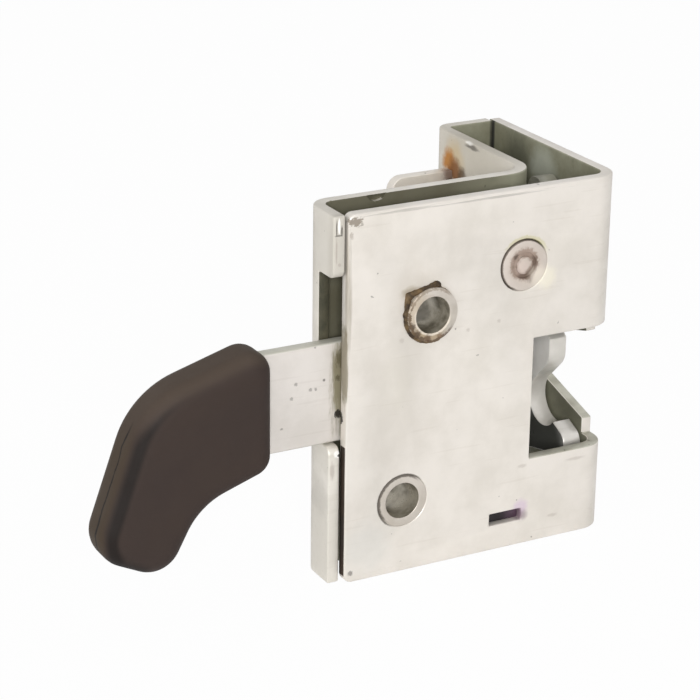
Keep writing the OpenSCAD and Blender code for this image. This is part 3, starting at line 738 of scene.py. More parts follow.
# The bush's bore: darker steel with painted shade, deepest on the upper left and further in.
BORE_SHADE_FINISH = MetalFinish(
    name="bush_bore_painted_shade",
    bright=srgb(178, 171, 155),
    dull=srgb(110, 103, 88),
    rough=(0.25, 0.45),
    blotch_scale=190.0,
    stains=(
        Stain((-2.0, 6.0, 4.0), 4.6, srgb(66, 60, 50), 0.7, 3.0),
        Stain((2.6, 9.0, -3.6), 4.0, srgb(92, 86, 74), 0.6, 3.0),
    ),
)
PIN_FINISH = MetalFinish(
    name="pin_plated",
    bright=srgb(196, 188, 180),
    dull=srgb(162, 155, 146),
    rough=(0.28, 0.45),
)
RIVET_FINISH = MetalFinish(
    name="rivet_plated",
    bright=srgb(220, 212, 204),
    dull=srgb(206, 197, 188),
    stains=(
        Stain((25.3, 0.0, 8.3), 8.4, srgb(196, 182, 170), 0.6, 3.0),
        Ring((25.3, 0.0, 8.3), 2.8, 1.7, srgb(148, 126, 112), 0.8, 2.6),
        Ring((25.4, 0.0, 8.2), 3.1, 0.8, srgb(96, 78, 66), 0.75, 2.0, (0.75, 0.0, -0.66), 0.3),
        Stain((24.9, 0.0, 7.6), 2.6, srgb(206, 190, 180), 0.7, 1.2),
        Stain((23.1, 0.0, 10.2), 1.2, srgb(80, 66, 54), 0.85, 1.2),
        Stain((22.7, 0.0, 7.9), 1.0, srgb(110, 96, 82), 0.7, 1.0),
        Stain((27.0, 0.0, 5.3), 1.8, srgb(110, 92, 78), 0.8, 1.6, (1.0, 1.0, 0.7)),
        Stain((30.0, 0.0, 4.2), 4.0, srgb(226, 216, 202), 0.8, 2.0),
        # Dark arc at the head's rim, strongest on the upper left: painted shadow of the head's edge.
        Ring((25.4, 0.0, 8.0), 6.2, 0.28, srgb(80, 66, 52), 0.8, 0.4, (-0.8, 0.0, 0.6), -0.25),
    ),
)
ANCHOR_FINISH = MetalFinish(
    name="anchor_plated",
    bright=srgb(134, 106, 128),
    dull=srgb(88, 66, 82),
    # Painted shadow: the anchor bar's left part, deep in its slot, painted near black.
    stains=(Stain((17.6, 2.0, -56.9), 12.0, srgb(16, 12, 12), 0.98, 1.6, (1.0, 1.0, 0.3)),),
)
LEVER_FINISH = MetalFinish(
    name="lever_plated",
    bright=srgb(224, 218, 212),
    dull=srgb(212, 206, 199),
    speck_cover=0.03,
    stains=(
        # Olive stripe on the bar beside the plate's edge: painted shadow of that edge, with grime.
        Stain((-21.2, 4.0, -15.5), 3.4, srgb(116, 108, 76), 0.9, 4.6, (1.0, 0.3, 0.2), 0.45),
        Stain((-21.6, 4.0, -9.0), 1.4, srgb(78, 70, 44), 0.65, 3.2, (1.0, 1.0, 0.5), 0.5),
        Stain((-22.2, 4.0, -13.6), 0.7, srgb(70, 62, 38), 0.7, 2.0, (1.0, 1.0, 0.8), 0.6),
        Stain((-22.1, 4.0, -22.6), 0.95, srgb(28, 22, 12), 0.98, 2.0, (1.0, 1.0, 0.8), 0.8),
        Stain((-33.1, 4.0, -13.3), 0.5, GRIME_AND_SHADE, 0.45, 1.0, core=0.7),
        Stain((-29.3, 4.0, -15.3), 0.5, GRIME_AND_SHADE, 0.45, 1.0, core=0.7),
        Stain((-34.2, 4.0, -16.7), 0.5, GRIME_AND_SHADE, 0.4, 1.0, core=0.7),
        Stain((-25.8, 4.0, -13.5), 0.4, GRIME_AND_SHADE, 0.7, 0.5, core=0.7),
    ),
)
# The bar's top and bottom faces and their roundings: the grey of a sheared edge, with painted shade where they turn
# from the front.
LEVER_EDGE_AND_SHADE_FINISH = MetalFinish(
    name="lever_sheared_edge_and_painted_shade",
    bright=srgb(208, 206, 195),
    dull=srgb(192, 190, 178),
)
CLAW_FINISH = MetalFinish(
    name="claw_plated",
    bright=srgb(230, 226, 220),
    dull=srgb(212, 208, 200),
    metallic=0.3,
    rough=(0.3, 0.45),
    # Painted shade under the claw's lobe, at the top of its throat.
    stains=(Stain((46.0, 21.0, -27.0), 4.0, srgb(128, 128, 116), 0.6, 3.0, (0.4, 1.0, 1.0)),),
)
# The claw's left faces: painted near white and matt as painted light, where the lamps reach little through the mouth.
CLAW_SIDE_LIGHT_AND_SHADE_FINISH = MetalFinish(
    name="claw_side_painted_light_and_shade",
    bright=srgb(250, 247, 243),
    dull=srgb(240, 236, 230),
    metallic=0.0,
    rough=(0.5, 0.65),
    # Painted shade: the lower left faces by the nib, shadowed behind the front plate, painted near black.
    stains=(Stain((43.4, 16.0, -46.0), 17.0, srgb(36, 38, 30), 0.96, 2.0, (3.0, 1.0, 1.0)),),
)
PAWL_FINISH = MetalFinish(
    name="pawl_plated",
    bright=srgb(186, 184, 172),
    dull=srgb(150, 148, 134),
    rough=(0.3, 0.45),
    stains=(Stain((43.4, 24.0, 26.0), 8.0, srgb(58, 56, 44), 0.85, 2.0, (2.0, 1.0, 1.0)),),
)
SPRING_FINISH = MetalFinish(
    name="spring_wire",
    bright=srgb(150, 150, 146),
    dull=srgb(112, 112, 108),
    rough=(0.3, 0.45),
    speck_cover=0.0,
)
WELD_FINISH = MetalFinish(
    name="weld_rusted",
    bright=srgb(106, 76, 50),
    dull=srgb(58, 42, 32),
    metallic=0.2,
    rough=(0.55, 0.8),
    blotch_scale=260.0,
    grain_depth=0.4,
    speck_colour=srgb(24, 18, 15),
    speck_scale=900.0,
    speck_cover=0.3,
)
CRUST_FINISH = MetalFinish(
    name="weld_crust",
    bright=srgb(108, 86, 54),
    dull=srgb(44, 33, 22),
    metallic=0.15,
    rough=(0.5, 0.8),
    blotch_scale=320.0,
    grain_depth=0.4,
    speck_colour=srgb(18, 15, 12),
    speck_scale=1100.0,
    speck_cover=0.3,
)


class Bench:
    """Operators that shape a piece, each on one object that is selected alone."""

    @staticmethod
    def only(piece: bpy.types.Object) -> None:
        """Selects one object and nothing else."""
        bpy.ops.object.select_all(action="DESELECT")
        piece.select_set(True)
        bpy.context.view_layer.objects.active = piece

    @classmethod
    def apply(cls, piece: bpy.types.Object, kind: str, **settings: Any) -> None:
        """Adds a modifier and applies it.

        Args:
            piece: The object.
            kind: Modifier type.
            settings: Its properties.
        """
        cls.only(piece)
        modifier = piece.modifiers.new(kind.lower(), kind)
        for key, value in settings.items():
            setattr(modifier, key, value)
        bpy.ops.object.modifier_apply(modifier=modifier.name)

    @classmethod
    def settle(cls, piece: bpy.types.Object, angle: float = 32.0) -> None:
        """Moves a piece's place into its mesh and shades it smooth below an angle.

        Args:
            piece: The object.
            angle: Edges sharper than this, in degrees, stay sharp.
        """
        cls.only(piece)
        bpy.ops.object.transform_apply(location=True, rotation=True, scale=True)
        bpy.ops.object.shade_smooth_by_angle(angle=math.radians(angle))

    @classmethod
    def pick(cls, piece: bpy.types.Object, mode: str, test: Callable[[Any], bool]) -> None:
        """Selects vertices, edges or faces by a test, in edit mode.

        Args:
            piece: The object.
            mode: VERT, EDGE or FACE.
            test: Says whether an element is taken.
        """
        bpy.ops.object.mode_set(mode="EDIT")
        bpy.ops.mesh.select_mode(type=mode)
        bpy.ops.mesh.select_all(action="DESELECT")
        bpy.ops.object.mode_set(mode="OBJECT")
        mesh = piece.data
        for item in {"VERT": mesh.vertices, "EDGE": mesh.edges, "FACE": mesh.polygons}[mode]:
            item.select = test(item)
        bpy.ops.object.mode_set(mode="EDIT")

    @classmethod
    def copy_node(cls, frame: dict[str, Any], node: str, name: str) -> bpy.types.Object:
        """Copies a solid's mesh into a new object with its doubles merged and its flats cleaned.

        Args:
            frame: The loaded frame.
            node: The solid to copy.
            name: The new piece's name.

        Returns:
            The new object.
        """
        mesh = frame["nodes"][node].data.copy()
        mesh.materials.clear()
        piece = bpy.data.objects.new(name, mesh)
        bpy.context.scene.collection.objects.link(piece)
        cls.only(piece)
        bpy.ops.object.mode_set(mode="EDIT")
        bpy.ops.mesh.select_all(action="SELECT")
        bpy.ops.mesh.remove_doubles(threshold=2e-6)
        bpy.ops.mesh.customdata_custom_splitnormals_clear()
        bpy.ops.mesh.dissolve_limited(angle_limit=math.radians(0.6))
        bpy.ops.object.mode_set(mode="OBJECT")
        return piece

    @classmethod
    def ease_edges(
        cls,
        piece: bpy.types.Object,
        wide: float,
        fine_share: float,
        rolled: Callable[[Vector], bool],
        sharp_at: Callable[[Vector], bool] = lambda p: False,
        clamp: bool = True,
    ) -> None:
        """Rounds sharp edges: the rolled side of a punched blank more than its burred side.

        Args:
            piece: The object.
            wide: Width at a rolled edge in millimetres.
            fine_share: Share of it at the other edges.
            rolled: Says whether an edge's middle lies on the rolled side.
            sharp_at: Says whether edges at a vertex stay as they are.
            clamp: Whether the shortest edge limits the width.
        """
        cls.only(piece)
        bpy.ops.object.mode_set(mode="EDIT")
        bpy.ops.mesh.select_mode(type="EDGE")
        bpy.ops.mesh.select_all(action="DESELECT")
        bpy.ops.mesh.edges_select_sharp(sharpness=math.radians(32))
        bpy.ops.object.mode_set(mode="OBJECT")
        mesh = piece.data
        sharp = {
            edge.index
            for edge in mesh.edges
            if edge.select and not any(sharp_at(mesh.vertices[v].co) for v in edge.vertices)
        }
        cls.pick(piece, "EDGE", lambda edge: edge.index in sharp)
        bpy.ops.transform.edge_bevelweight(value=fine_share)
        bpy.ops.object.mode_set(mode="OBJECT")
        middle = {i: sum((mesh.vertices[v].co for v in mesh.edges[i].vertices), Vector()) / 2 for i in sharp}
        cls.pick(piece, "EDGE", lambda edge: edge.index in sharp and rolled(middle[edge.index]))
        bpy.ops.transform.edge_bevelweight(value=1.0 - fine_share)
        bpy.ops.object.mode_set(mode="OBJECT")
        cls.apply(
            piece, "BEVEL", width=wide * MM, segments=3, limit_method="WEIGHT", use_clamp_overlap=clamp
        )
        cls.settle(piece)

    @staticmethod
    def hand_over(
        piece: bpy.types.Object, body: Body, slot: Slot, material: bpy.types.Material, *nodes: str
    ) -> None:
        """Dresses a finished piece and puts it on its body.

        Args:
            piece: The object.
            body: The body it moves with.
            slot: The record's material slot; not used.
            material: Its material.
            nodes: Solids that it stands for.
        """
        if not piece.data.materials:
            piece.data.materials.append(material)
        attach(piece, body.value)
        if nodes:
            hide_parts(*nodes)
        LOG.info("%s: %d faces on %s", piece.name, len(piece.data.polygons), body.value)


@dataclass
class Shop:
    """What every sub-assembly needs: the frame, the shared effects and the materials made so far."""

    frame: dict[str, Any]
    effects: Effects
    made: dict[str, bpy.types.Material] = field(default_factory=dict)

    def finish(self, kind: MetalFinish | GripFinish) -> bpy.types.Material:
        """Gives the material of a finish, made on its first use.

        Args:
            kind: The finish.

        Returns:
            Its material.
        """
        if kind.name not in self.made:
            self.made[kind.name] = kind.make(self.effects)
        return self.made[kind.name]

    def dress(
        self, piece: bpy.types.Object, outer: MetalFinish, *others: tuple[MetalFinish, Callable[[Any], bool]]
    ) -> None:
        """Gives a piece one finish all over and others where their tests take a face.

        Args:
            piece: The object.
            outer: The finish of most faces.
            others: Finishes with the test for their faces, the last one first in rank.
        """
        for kind in (outer, *(kind for kind, _ in others)):
            piece.data.materials.append(self.finish(kind))
        for face in piece.data.polygons:
            for index, (_, test) in enumerate(others, 1):
                if test(face):
                    face.material_index = index

    def paint_node(self, node: str, kind: MetalFinish) -> None:
        """Dresses a solid that stays as it is.

        Args:
            node: The solid's name.
            kind: Its finish.
        """
        piece = self.frame["nodes"][node]
        if not piece.material_slots:
            piece.data.materials.append(None)
        for slot in piece.material_slots:
            slot.link = "OBJECT"
            slot.material = self.finish(kind)


@dataclass
class Housing:
    """The two pressed plates, with eased edges and an inside tinted olive and darkened with painted shade."""

    shop: Shop
    sheet: float = 3.0
    flange_out: float = 52.0
    wall_out: float = -25.6
    plate_left: float = -22.0
    tab_top: float = -30.0
    web_out: float = 14.5
    seam_y: float = 24.5
    rear_out: float = 57.0
    eased_edge: float = 0.4
    rivet_hole: Point = (25.3, 14.5, 8.1)
    pawl_hole: Point = (33.0, 19.0, -5.0)
    pocket: tuple[float, float] = (-8.6, 28.2)
    pocket_floor: float = 12.7
    pocket_low: float = 25.3
    pocket_rise: float = 0.62
    mouth_left: float = 34.0
    mouth_z: tuple[float, float] = (-45.0, -16.0)

    def build(self) -> None:
        """Makes both plates."""
        self._front()
        self._back()

    def _front(self) -> None:
        """Makes the front plate with its striker flange."""
        piece = Bench.copy_node(self.shop.frame, "front_plate", "front_plate_pressed")
        inner_x = (self.flange_out - self.sheet) * MM
        low, high = (z * MM for z in self.mouth_z)
        Bench.ease_edges(piece, self.eased_edge, 1.0, lambda p: False, clamp=False)
        left = (self.plate_left + 0.02) * MM
        tab_top = self.tab_top * MM
        Bench.pick(piece, "FACE", lambda f: f.normal.x < -0.5 and f.center.x < left)
        bpy.ops.mesh.bisect(plane_co=(0.0, 0.0, tab_top), plane_no=(0.0, 0.0, 1.0))
        bpy.ops.object.mode_set(mode="OBJECT")

        def inside(face: Any) -> bool:
            """Says whether a face lies inside the housing."""
            back = face.normal.y > 0.9 and face.center.y < 4 * MM
            return back or (
                face.normal.x < -0.3 and face.center.x > inner_x - 1.5 * MM and face.center.y > 2.9 * MM
            )

        def sheared(face: Any) -> bool:
            """Says whether a face is the cut edge under the striker mouth."""
            upward = face.normal.z > 0.3 and face.normal.x > -0.2
            return upward and face.center.x > self.mouth_left * MM and low < face.center.z < high

        def gap(face: Any) -> bool:
            """Says whether a face lies in the gap beside the lower tab, painted dark brown as shade and grime."""
            return face.normal.x < -0.8 and face.center.x < left and face.center.z < tab_top

        # Inside faces take the olive tint darkened with painted shade; the gap beside the lower tab is painted dark as
        # shade and grime.
        self.shop.dress(
            piece, PLATE_FINISH, (INNER_TINT_AND_SHADE_FINISH, inside), (SHEARED_FINISH, sheared), (GAP_SHADE_AND_GRIME_FINISH, gap)
        )
        Bench.hand_over(piece, Body.HOUSING, Slot.ZINC, self.shop.finish(PLATE_FINISH), "front_plate")

    def _back(self) -> None:
        """Makes the back plate and the claw box as the one bent sheet that they are."""
        piece = Bench.copy_node(self.shop.frame, "back_plate", "back_plate_pressed")
        box = Bench.copy_node(self.shop.frame, "claw_box", "claw_box_rear")
        Bench.only(piece)
        box.select_set(True)
        bpy.ops.object.join()
        bpy.ops.object.mode_set(mode="EDIT")
        bpy.ops.mesh.select_all(action="SELECT")
        bpy.ops.mesh.remove_doubles(threshold=2e-6)
        seam = self.seam_y * MM
        Bench.pick(piece, "FACE", lambda f: abs(f.center.y - seam) < 0.01 * MM and abs(f.normal.y) > 0.9)
        bpy.ops.mesh.delete(type="FACE")
        bpy.ops.mesh.select_all(action="SELECT")
        bpy.ops.mesh.dissolve_limited(angle_limit=math.radians(0.6))
        bpy.ops.object.mode_set(mode="OBJECT")
        pocket = Vector((self.pocket[0], 0.0, self.pocket[1])) * MM
        floor_y, low = self.pocket_floor * MM, self.pocket_low * MM
        for vertex in piece.data.vertices:
            p = vertex.co
            if math.hypot(p.x - pocket.x, p.z - pocket.z) < 3 * MM and abs(p.y - floor_y) < 0.05 * MM:
                p.y -= self.pocket_rise * (p.z - low)
        rivet, pin = (Vector(at) * MM for at in (self.rivet_hole, self.pawl_hole))

        def kept(p: Vector) -> bool:
            """Says whether a vertex lies at the pocket or at a hole that runs into the bend."""
            dented = math.hypot(p.x - pocket.x, p.z - pocket.z) < 4.5 * MM
            riveted = math.hypot(p.x - rivet.x, p.z - rivet.z) < 7.2 * MM and p.y > 10 * MM
            pinned = math.hypot(p.y - pin.y, p.z - pin.z) < 4.8 * MM and p.x > 30 * MM
            return dented or riveted or pinned

        Bench.ease_edges(piece, self.eased_edge, 1.0, lambda p: False, kept, clamp=False)

        def inside(face: Any) -> bool:
            """Says whether a face lies inside the housing or on the side of the pocket that is painted dark as shade.
            """
            p = face.center
            dent = math.hypot(p.x - pocket.x, p.z - pocket.z) < 3.2 * MM and 11 * MM < p.y < 13 * MM
            facing = face.normal.x > 0.3 and p.y > 2 * MM and p.x < 40 * MM
            return (face.normal.y < -0.3 and p.y > 9 * MM) or facing or (dent and face.normal.z < 0.8)

        def slot_edge(face: Any) -> bool:
            """Says whether a face is the rear edge of the lever's slot."""
            p = face.center
            return face.normal.y < -0.8 and 5 * MM < p.y < 9 * MM and p.x < (self.wall_out + self.sheet) * MM

        # Inside faces and the pocket's side take the olive tint darkened with painted shade; the slot's rear edge is
        # painted dark as shade and oil.
        self.shop.dress(piece, SHELL_FINISH, (INNER_TINT_AND_SHADE_FINISH, inside), (SLOT_SHADE_AND_OIL_FINISH, slot_edge))
        Bench.hand_over(piece, Body.HOUSING, Slot.ZINC, self.shop.finish(SHELL_FINISH), "back_plate", "claw_box")


@dataclass
class Fixings:
    """Bushes, rivet, anchor bar, lug and welds that stay with the housing."""

    shop: Shop
    bush_radius: float = 6.6
    bore_edge: float = 4.55
    weld_radius: float = 0.7
    spikes: tuple[tuple[float, float, float], ...] = ((80.0, 0.8, 2.2), (139.0, 1.7, 3.0), (172.0, 0.25, 2.0))
    clean_from: float = -62.0
    clean_to: float = 64.0
    rivet_drift: float = 0.12
    box_face: float = 33.0
    lug_front: float = 47.0
    lug_top: float = 17.6
    lug_height: float = 34.0

    def build(self) -> None:
        """Makes every fixed piece and dresses the plain ones."""
        self._bush("upper_bush", (0.0, 0.0))
        self._bush("lower_bush", (-6.5, -46.4))
        self._bush_weld()
        self._rivet()
        self._eased("spring_anchor", "spring_anchor_bar", ANCHOR_FINISH, Slot.PIN, 0.2)
        self._eased("rear_lug", "rear_lug_plate", LUG_FINISH, Slot.ZINC, 0.4)
        self._lug_weld()
        for node in (
            "front_washer", "rear_spacer", "claw_pin", "claw_spacer", "claw_washer", "claw_stop",
            "pawl_pin", "pawl_spacer", "pawl_washer",
        ):
            self.shop.paint_node(node, PIN_FINISH)

    def _eased(self, node: str, name: str, kind: MetalFinish, slot: Slot, width: float) -> None:
        """Makes a piece from its solid with eased edges.

        Args:
            node: The solid.
            name: The new piece's name.
            kind: Its finish.
            slot: Its material slot.
            width: Width of the eased edge in millimetres.
        """
        piece = Bench.copy_node(self.shop.frame, node, name)
        Bench.ease_edges(piece, width, 1.0, lambda p: False)
        Bench.hand_over(piece, Body.HOUSING, slot, self.shop.finish(kind), node)

    def _bush(self, node: str, axis: tuple[float, float]) -> None:
        """Makes a bolt bush with eased rims and a bore painted dark as shade.

        Args:
            node: The solid.
            axis: Where its axis lies in X and Z, in millimetres.
        """
        piece = Bench.copy_node(self.shop.frame, node, node + "_turned")
        Bench.ease_edges(piece, 0.2, 1.0, lambda p: False)
        middle = Vector((axis[0], 0.0, axis[1])) * MM
        reach = self.bore_edge * MM
        self.shop.dress(
            piece,
            BUSH_FINISH,
            (
                BORE_SHADE_FINISH,
                lambda f: abs(f.normal.y) < 0.5
                and math.hypot(f.center.x - middle.x, f.center.z - middle.z) < reach,
            ),
        )
        Bench.hand_over(piece, Body.HOUSING, Slot.BUSH, self.shop.finish(BUSH_FINISH), node)

    def _rivet(self) -> None:
        """Makes the lever's rivet, whose staked head is driven against the plate on its lower right."""
        piece = Bench.copy_node(self.shop.frame, "handle_pin", "lever_rivet")
        Bench.ease_edges(piece, 0.2, 1.0, lambda p: False)
        Bench.pick(piece, "VERT", lambda v: v.co.y < 2.0 * MM)
        bpy.ops.transform.translate(value=(self.rivet_drift * MM, 0.0, -self.rivet_drift * MM))
        bpy.ops.object.mode_set(mode="OBJECT")
        Bench.hand_over(piece, Body.HOUSING, Slot.PIN, self.shop.finish(RIVET_FINISH), "handle_pin")

    def _bush_weld(self) -> None:
        """Makes the weld crust: lumps and spikes on the bush's upper left, sunk into the plate on its right."""
        bpy.ops.object.select_all(action="DESELECT")
        bpy.ops.mesh.primitive_torus_add(
            major_segments=160,
            minor_segments=16,
            major_radius=self.bush_radius * MM,
            minor_radius=self.weld_radius * MM,
            rotation=(math.radians(90), 0.0, 0.0),
        )
        piece = bpy.context.object
        piece.name = "bush_weld_bead"
        Bench.only(piece)
        bpy.ops.object.transform_apply(location=True, rotation=True, scale=True)
        rim = (self.bush_radius + self.weld_radius) * MM
        for angle, reach, width in self.spikes:
            way = Vector((math.cos(math.radians(angle)), 0.0, math.sin(math.radians(angle))))
            Bench.pick(piece, "VERT", lambda v: (v.co - way * rim).length < 0.3 * MM)
            bpy.ops.transform.translate(
                value=way * reach * MM,
                use_proportional_edit=True,
                proportional_edit_falloff="LINEAR",
                proportional_size=width * MM,
            )
            bpy.ops.object.mode_set(mode="OBJECT")
        low, high = math.radians(self.clean_from), math.radians(self.clean_to)
        Bench.pick(piece, "VERT", lambda v: low < math.atan2(v.co.z, v.co.x) < high)
        bpy.ops.transform.translate(
            value=(0.0, 0.8 * MM, 0.0),
            use_proportional_edit=True,
            proportional_edit_falloff="SMOOTH",
            proportional_size=1.5 * MM,
        )
        bpy.ops.object.mode_set(mode="OBJECT")
        self._lumps(piece, 0.5, 1.1, 4)
        Bench.hand_over(piece, Body.HOUSING, Slot.WELD, self.shop.finish(CRUST_FINISH), "bush_weld")

    def _lug_weld(self) -> None:
        """Makes the rippled weld between the lug and the claw box."""
        length = (self.lug_height - 4) * MM
        bpy.ops.object.select_all(action="DESELECT")
        bpy.ops.mesh.primitive_cylinder_add(
            vertices=16,
            radius=1.9 * MM,
            depth=length,
            location=((self.box_face - 0.4) * MM, (self.lug_front - 0.4) * MM, (self.lug_top - self.lug_height / 2) * MM),
        )
        piece = bpy.context.object
        piece.name = "lug_weld_bead"
        bpy.ops.object.mode_set(mode="EDIT")
        bpy.ops.mesh.select_all(action="SELECT")
        bpy.ops.mesh.bevel(offset=1.0 * MM, segments=3)
        bpy.ops.mesh.select_all(action="SELECT")
        bpy.ops.mesh.subdivide(number_cuts=7)
        bpy.ops.object.mode_set(mode="OBJECT")
        self._lumps(piece, 1.0, 2.2, 5)
        Bench.hand_over(piece, Body.HOUSING, Slot.WELD, self.shop.finish(WELD_FINISH), "lug_weld")

    @staticmethod
    def _lumps(piece: bpy.types.Object, depth: float, size: float, seed: int) -> None:
        """Makes a bead lumpy.

        Args:
            piece: The bead.
            depth: Height of the lumps in millimetres.
            size: Their size in millimetres.
            seed: Octaves of the cloud pattern.
        """
        Bench.only(piece)
        bpy.ops.object.transform_apply(location=True, rotation=True, scale=True)
        cloud = bpy.data.textures.new(piece.name + "_lumps", "CLOUDS")
        cloud.noise_scale = size * MM
        cloud.noise_depth = min(seed, 4)
        Bench.apply(
            piece, "DISPLACE", texture=cloud, texture_coords="LOCAL", strength=depth * MM, mid_level=0.55
        )
        Bench.settle(piece, 60.0)


@dataclass
class HandLever:
    """The flat lever bar, its spring peg and the moulded grip."""

    shop: Shop
    corners: tuple[tuple[float, float, float], ...] = (
        (-40.5, -32.0, 5.0),
        (-40.5, -0.7, 5.5),
        (-72.4, -10.0, 22.0),
        (-85.3, -45.7, 8.0),
        (-67.3, -54.5, 7.5),
        (-58.5, -38.0, 16.0),
    )
    middle: float = 5.5
    thick: float = 13.0
    round_edge: float = 4.5

    def build(self) -> None:
        """Makes the bar and the grip and dresses the peg."""
        piece = Bench.copy_node(self.shop.frame, "lever_arm", "lever_bar")
        Bench.ease_edges(piece, 0.8, 0.4, lambda p: p.y < 4.02 * MM)
        # Faces that turn up or down take the edge finish, which holds their painted shade.
        self.shop.dress(piece, LEVER_FINISH, (LEVER_EDGE_AND_SHADE_FINISH, lambda f: abs(f.normal.z) > 0.4))
        Bench.hand_over(piece, Body.LEVER, Slot.LEVER, self.shop.finish(LEVER_FINISH), "lever_arm")
        self.shop.paint_node("lever_peg", PIN_FINISH)
        self._grip()

    def _outline(self, steps: int = 14) -> list[tuple[float, float]]:
        """Gives the grip's outline with its rounded corners.

        Args:
            steps: Points along each corner.

        Returns:
            Points in X and Z in millimetres.
        """
        points = []
        count = len(self.corners)
        for i, (x, z, radius) in enumerate(self.corners):
            here = Vector((x, z))
            a = (here - Vector(self.corners[i - 1][:2])).normalized()
            b = (Vector(self.corners[(i + 1) % count][:2]) - here).normalized()
            turn = math.atan2(a.x * b.y - a.y * b.x, a.dot(b))
            side = 1.0 if turn > 0 else -1.0
            centre = here - a * radius * math.tan(abs(turn) / 2) + side * radius * Vector((-a.y, a.x))
            spoke = side * radius * Vector((a.y, -a.x))
            for s in range(steps + 1):
                spin = Matrix.Rotation(turn * s / steps, 2)
                points.append(tuple(centre + spin @ spoke))
        return points

    def _grip(self) -> None:
        """Models the grip: its outline, two courses of wall and wide rounded rims."""
        outline = self._outline()
        bpy.ops.object.select_all(action="DESELECT")
        bpy.ops.mesh.primitive_circle_add(vertices=len(outline), radius=MM, fill_type="NGON")
        piece = bpy.context.object
        piece.name = "moulded_grip"
        low = self.middle - self.thick / 2
        for vertex, (x, z) in zip(piece.data.vertices, outline):
            vertex.co = (x * MM, low * MM, z * MM)
        bpy.ops.object.mode_set(mode="EDIT")
        bpy.ops.mesh.select_all(action="SELECT")
        for step in (0.5, 0.5):
            bpy.ops.mesh.extrude_region_move(TRANSFORM_OT_translate={"value": (0.0, step * self.thick * MM, 0.0)})
        bpy.ops.mesh.select_all(action="SELECT")
        bpy.ops.mesh.normals_make_consistent(inside=False)
        ends = (low * MM, (low + self.thick) * MM)
        mesh = piece.data
        Bench.pick(
            piece,
            "EDGE",
            lambda e: any(all(abs(mesh.vertices[v].co.y - y) < 0.01 * MM for v in e.vertices) for y in ends),
        )
        bpy.ops.mesh.bevel(offset=self.round_edge * MM, segments=9, profile=0.5, clamp_overlap=False)
        bpy.ops.object.mode_set(mode="OBJECT")
        Bench.settle(piece, 50.0)
        Bench.hand_over(piece, Body.LEVER, Slot.GRIP, self.shop.finish(GripFinish()), "grip")


@dataclass
class Mechanism:
    """The claw, the pawl and their pegs."""

    shop: Shop

    def build(self) -> None:
        """Makes both blanks and dresses their pegs."""
        for node, body, kind in (("claw", Body.CLAW, CLAW_FINISH), ("pawl", Body.PAWL, PAWL_FINISH)):
            piece = Bench.copy_node(self.shop.frame, node, node + "_blank")
            Bench.ease_edges(piece, 0.4, 1.0, lambda p: False)
            if body is Body.CLAW:
                # The claw's left faces take the painted light and shade finish.
                self.shop.dress(piece, kind, (CLAW_SIDE_LIGHT_AND_SHADE_FINISH, lambda f: f.normal.x < -0.9))
            Bench.hand_over(piece, body, Slot.CLAW, self.shop.finish(kind), node)
        for node in ("claw_peg", "pawl_peg"):
            self.shop.paint_node(node, PIN_FINISH)


@dataclass
class Springs:
    """The wire springs, copied from their solids and left where they stand; in the lock each is held in the housing at
    one end and pulled by a moving body at the other.
    """

    shop: Shop
    runs: tuple[tuple[str, Body, Point, Point], ...] = (
        ("claw_spring", Body.CLAW, (37.35, 34.5, -42.0), (40.6, 34.5, -42.0)),
        ("pawl_spring", Body.PAWL, (37.2, 19.0, -5.0), (40.15, 19.0, -5.0)),
        ("lever_spring", Body.LEVER, (21.57, 9.2, -54.36), (9.38, 9.2, -28.1)),
    )

    def build(self) -> None:
        """Makes the three springs as still copies of their solids; in the lock they twist or stretch between their
        ends.
        """
        for node, body, held, moved in self.runs:
            piece = Bench.copy_node(self.shop.frame, node, node + "_wire")
            Bench.settle(piece, 55.0)
            piece.data.materials.append(self.shop.finish(SPRING_FINISH))
            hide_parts(node)
            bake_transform(piece)
            LOG.info("%s: %d faces from %s to %s", piece.name, len(piece.data.polygons), Body.HOUSING.value, body.value)


@dataclass(frozen=True)
class Lamp:
    """A soft area lamp: where it stands, what it looks at, its size and its power."""

    name: str
    at: Point
    target: Point
    size: float
    power: float

    def build(self) -> None:
        """Adds the lamp to the scene."""
        data = bpy.data.lights.new(self.name, "AREA")
        data.shape = "DISK"
        data.size = self.size
        data.energy = self.power
        lamp = bpy.data.objects.new(self.name, data)
        bpy.context.scene.collection.objects.link(lamp)
        lamp.location = self.at
        lamp.rotation_euler = (Vector(self.target) - Vector(self.at)).to_track_quat("-Z", "Y").to_euler()


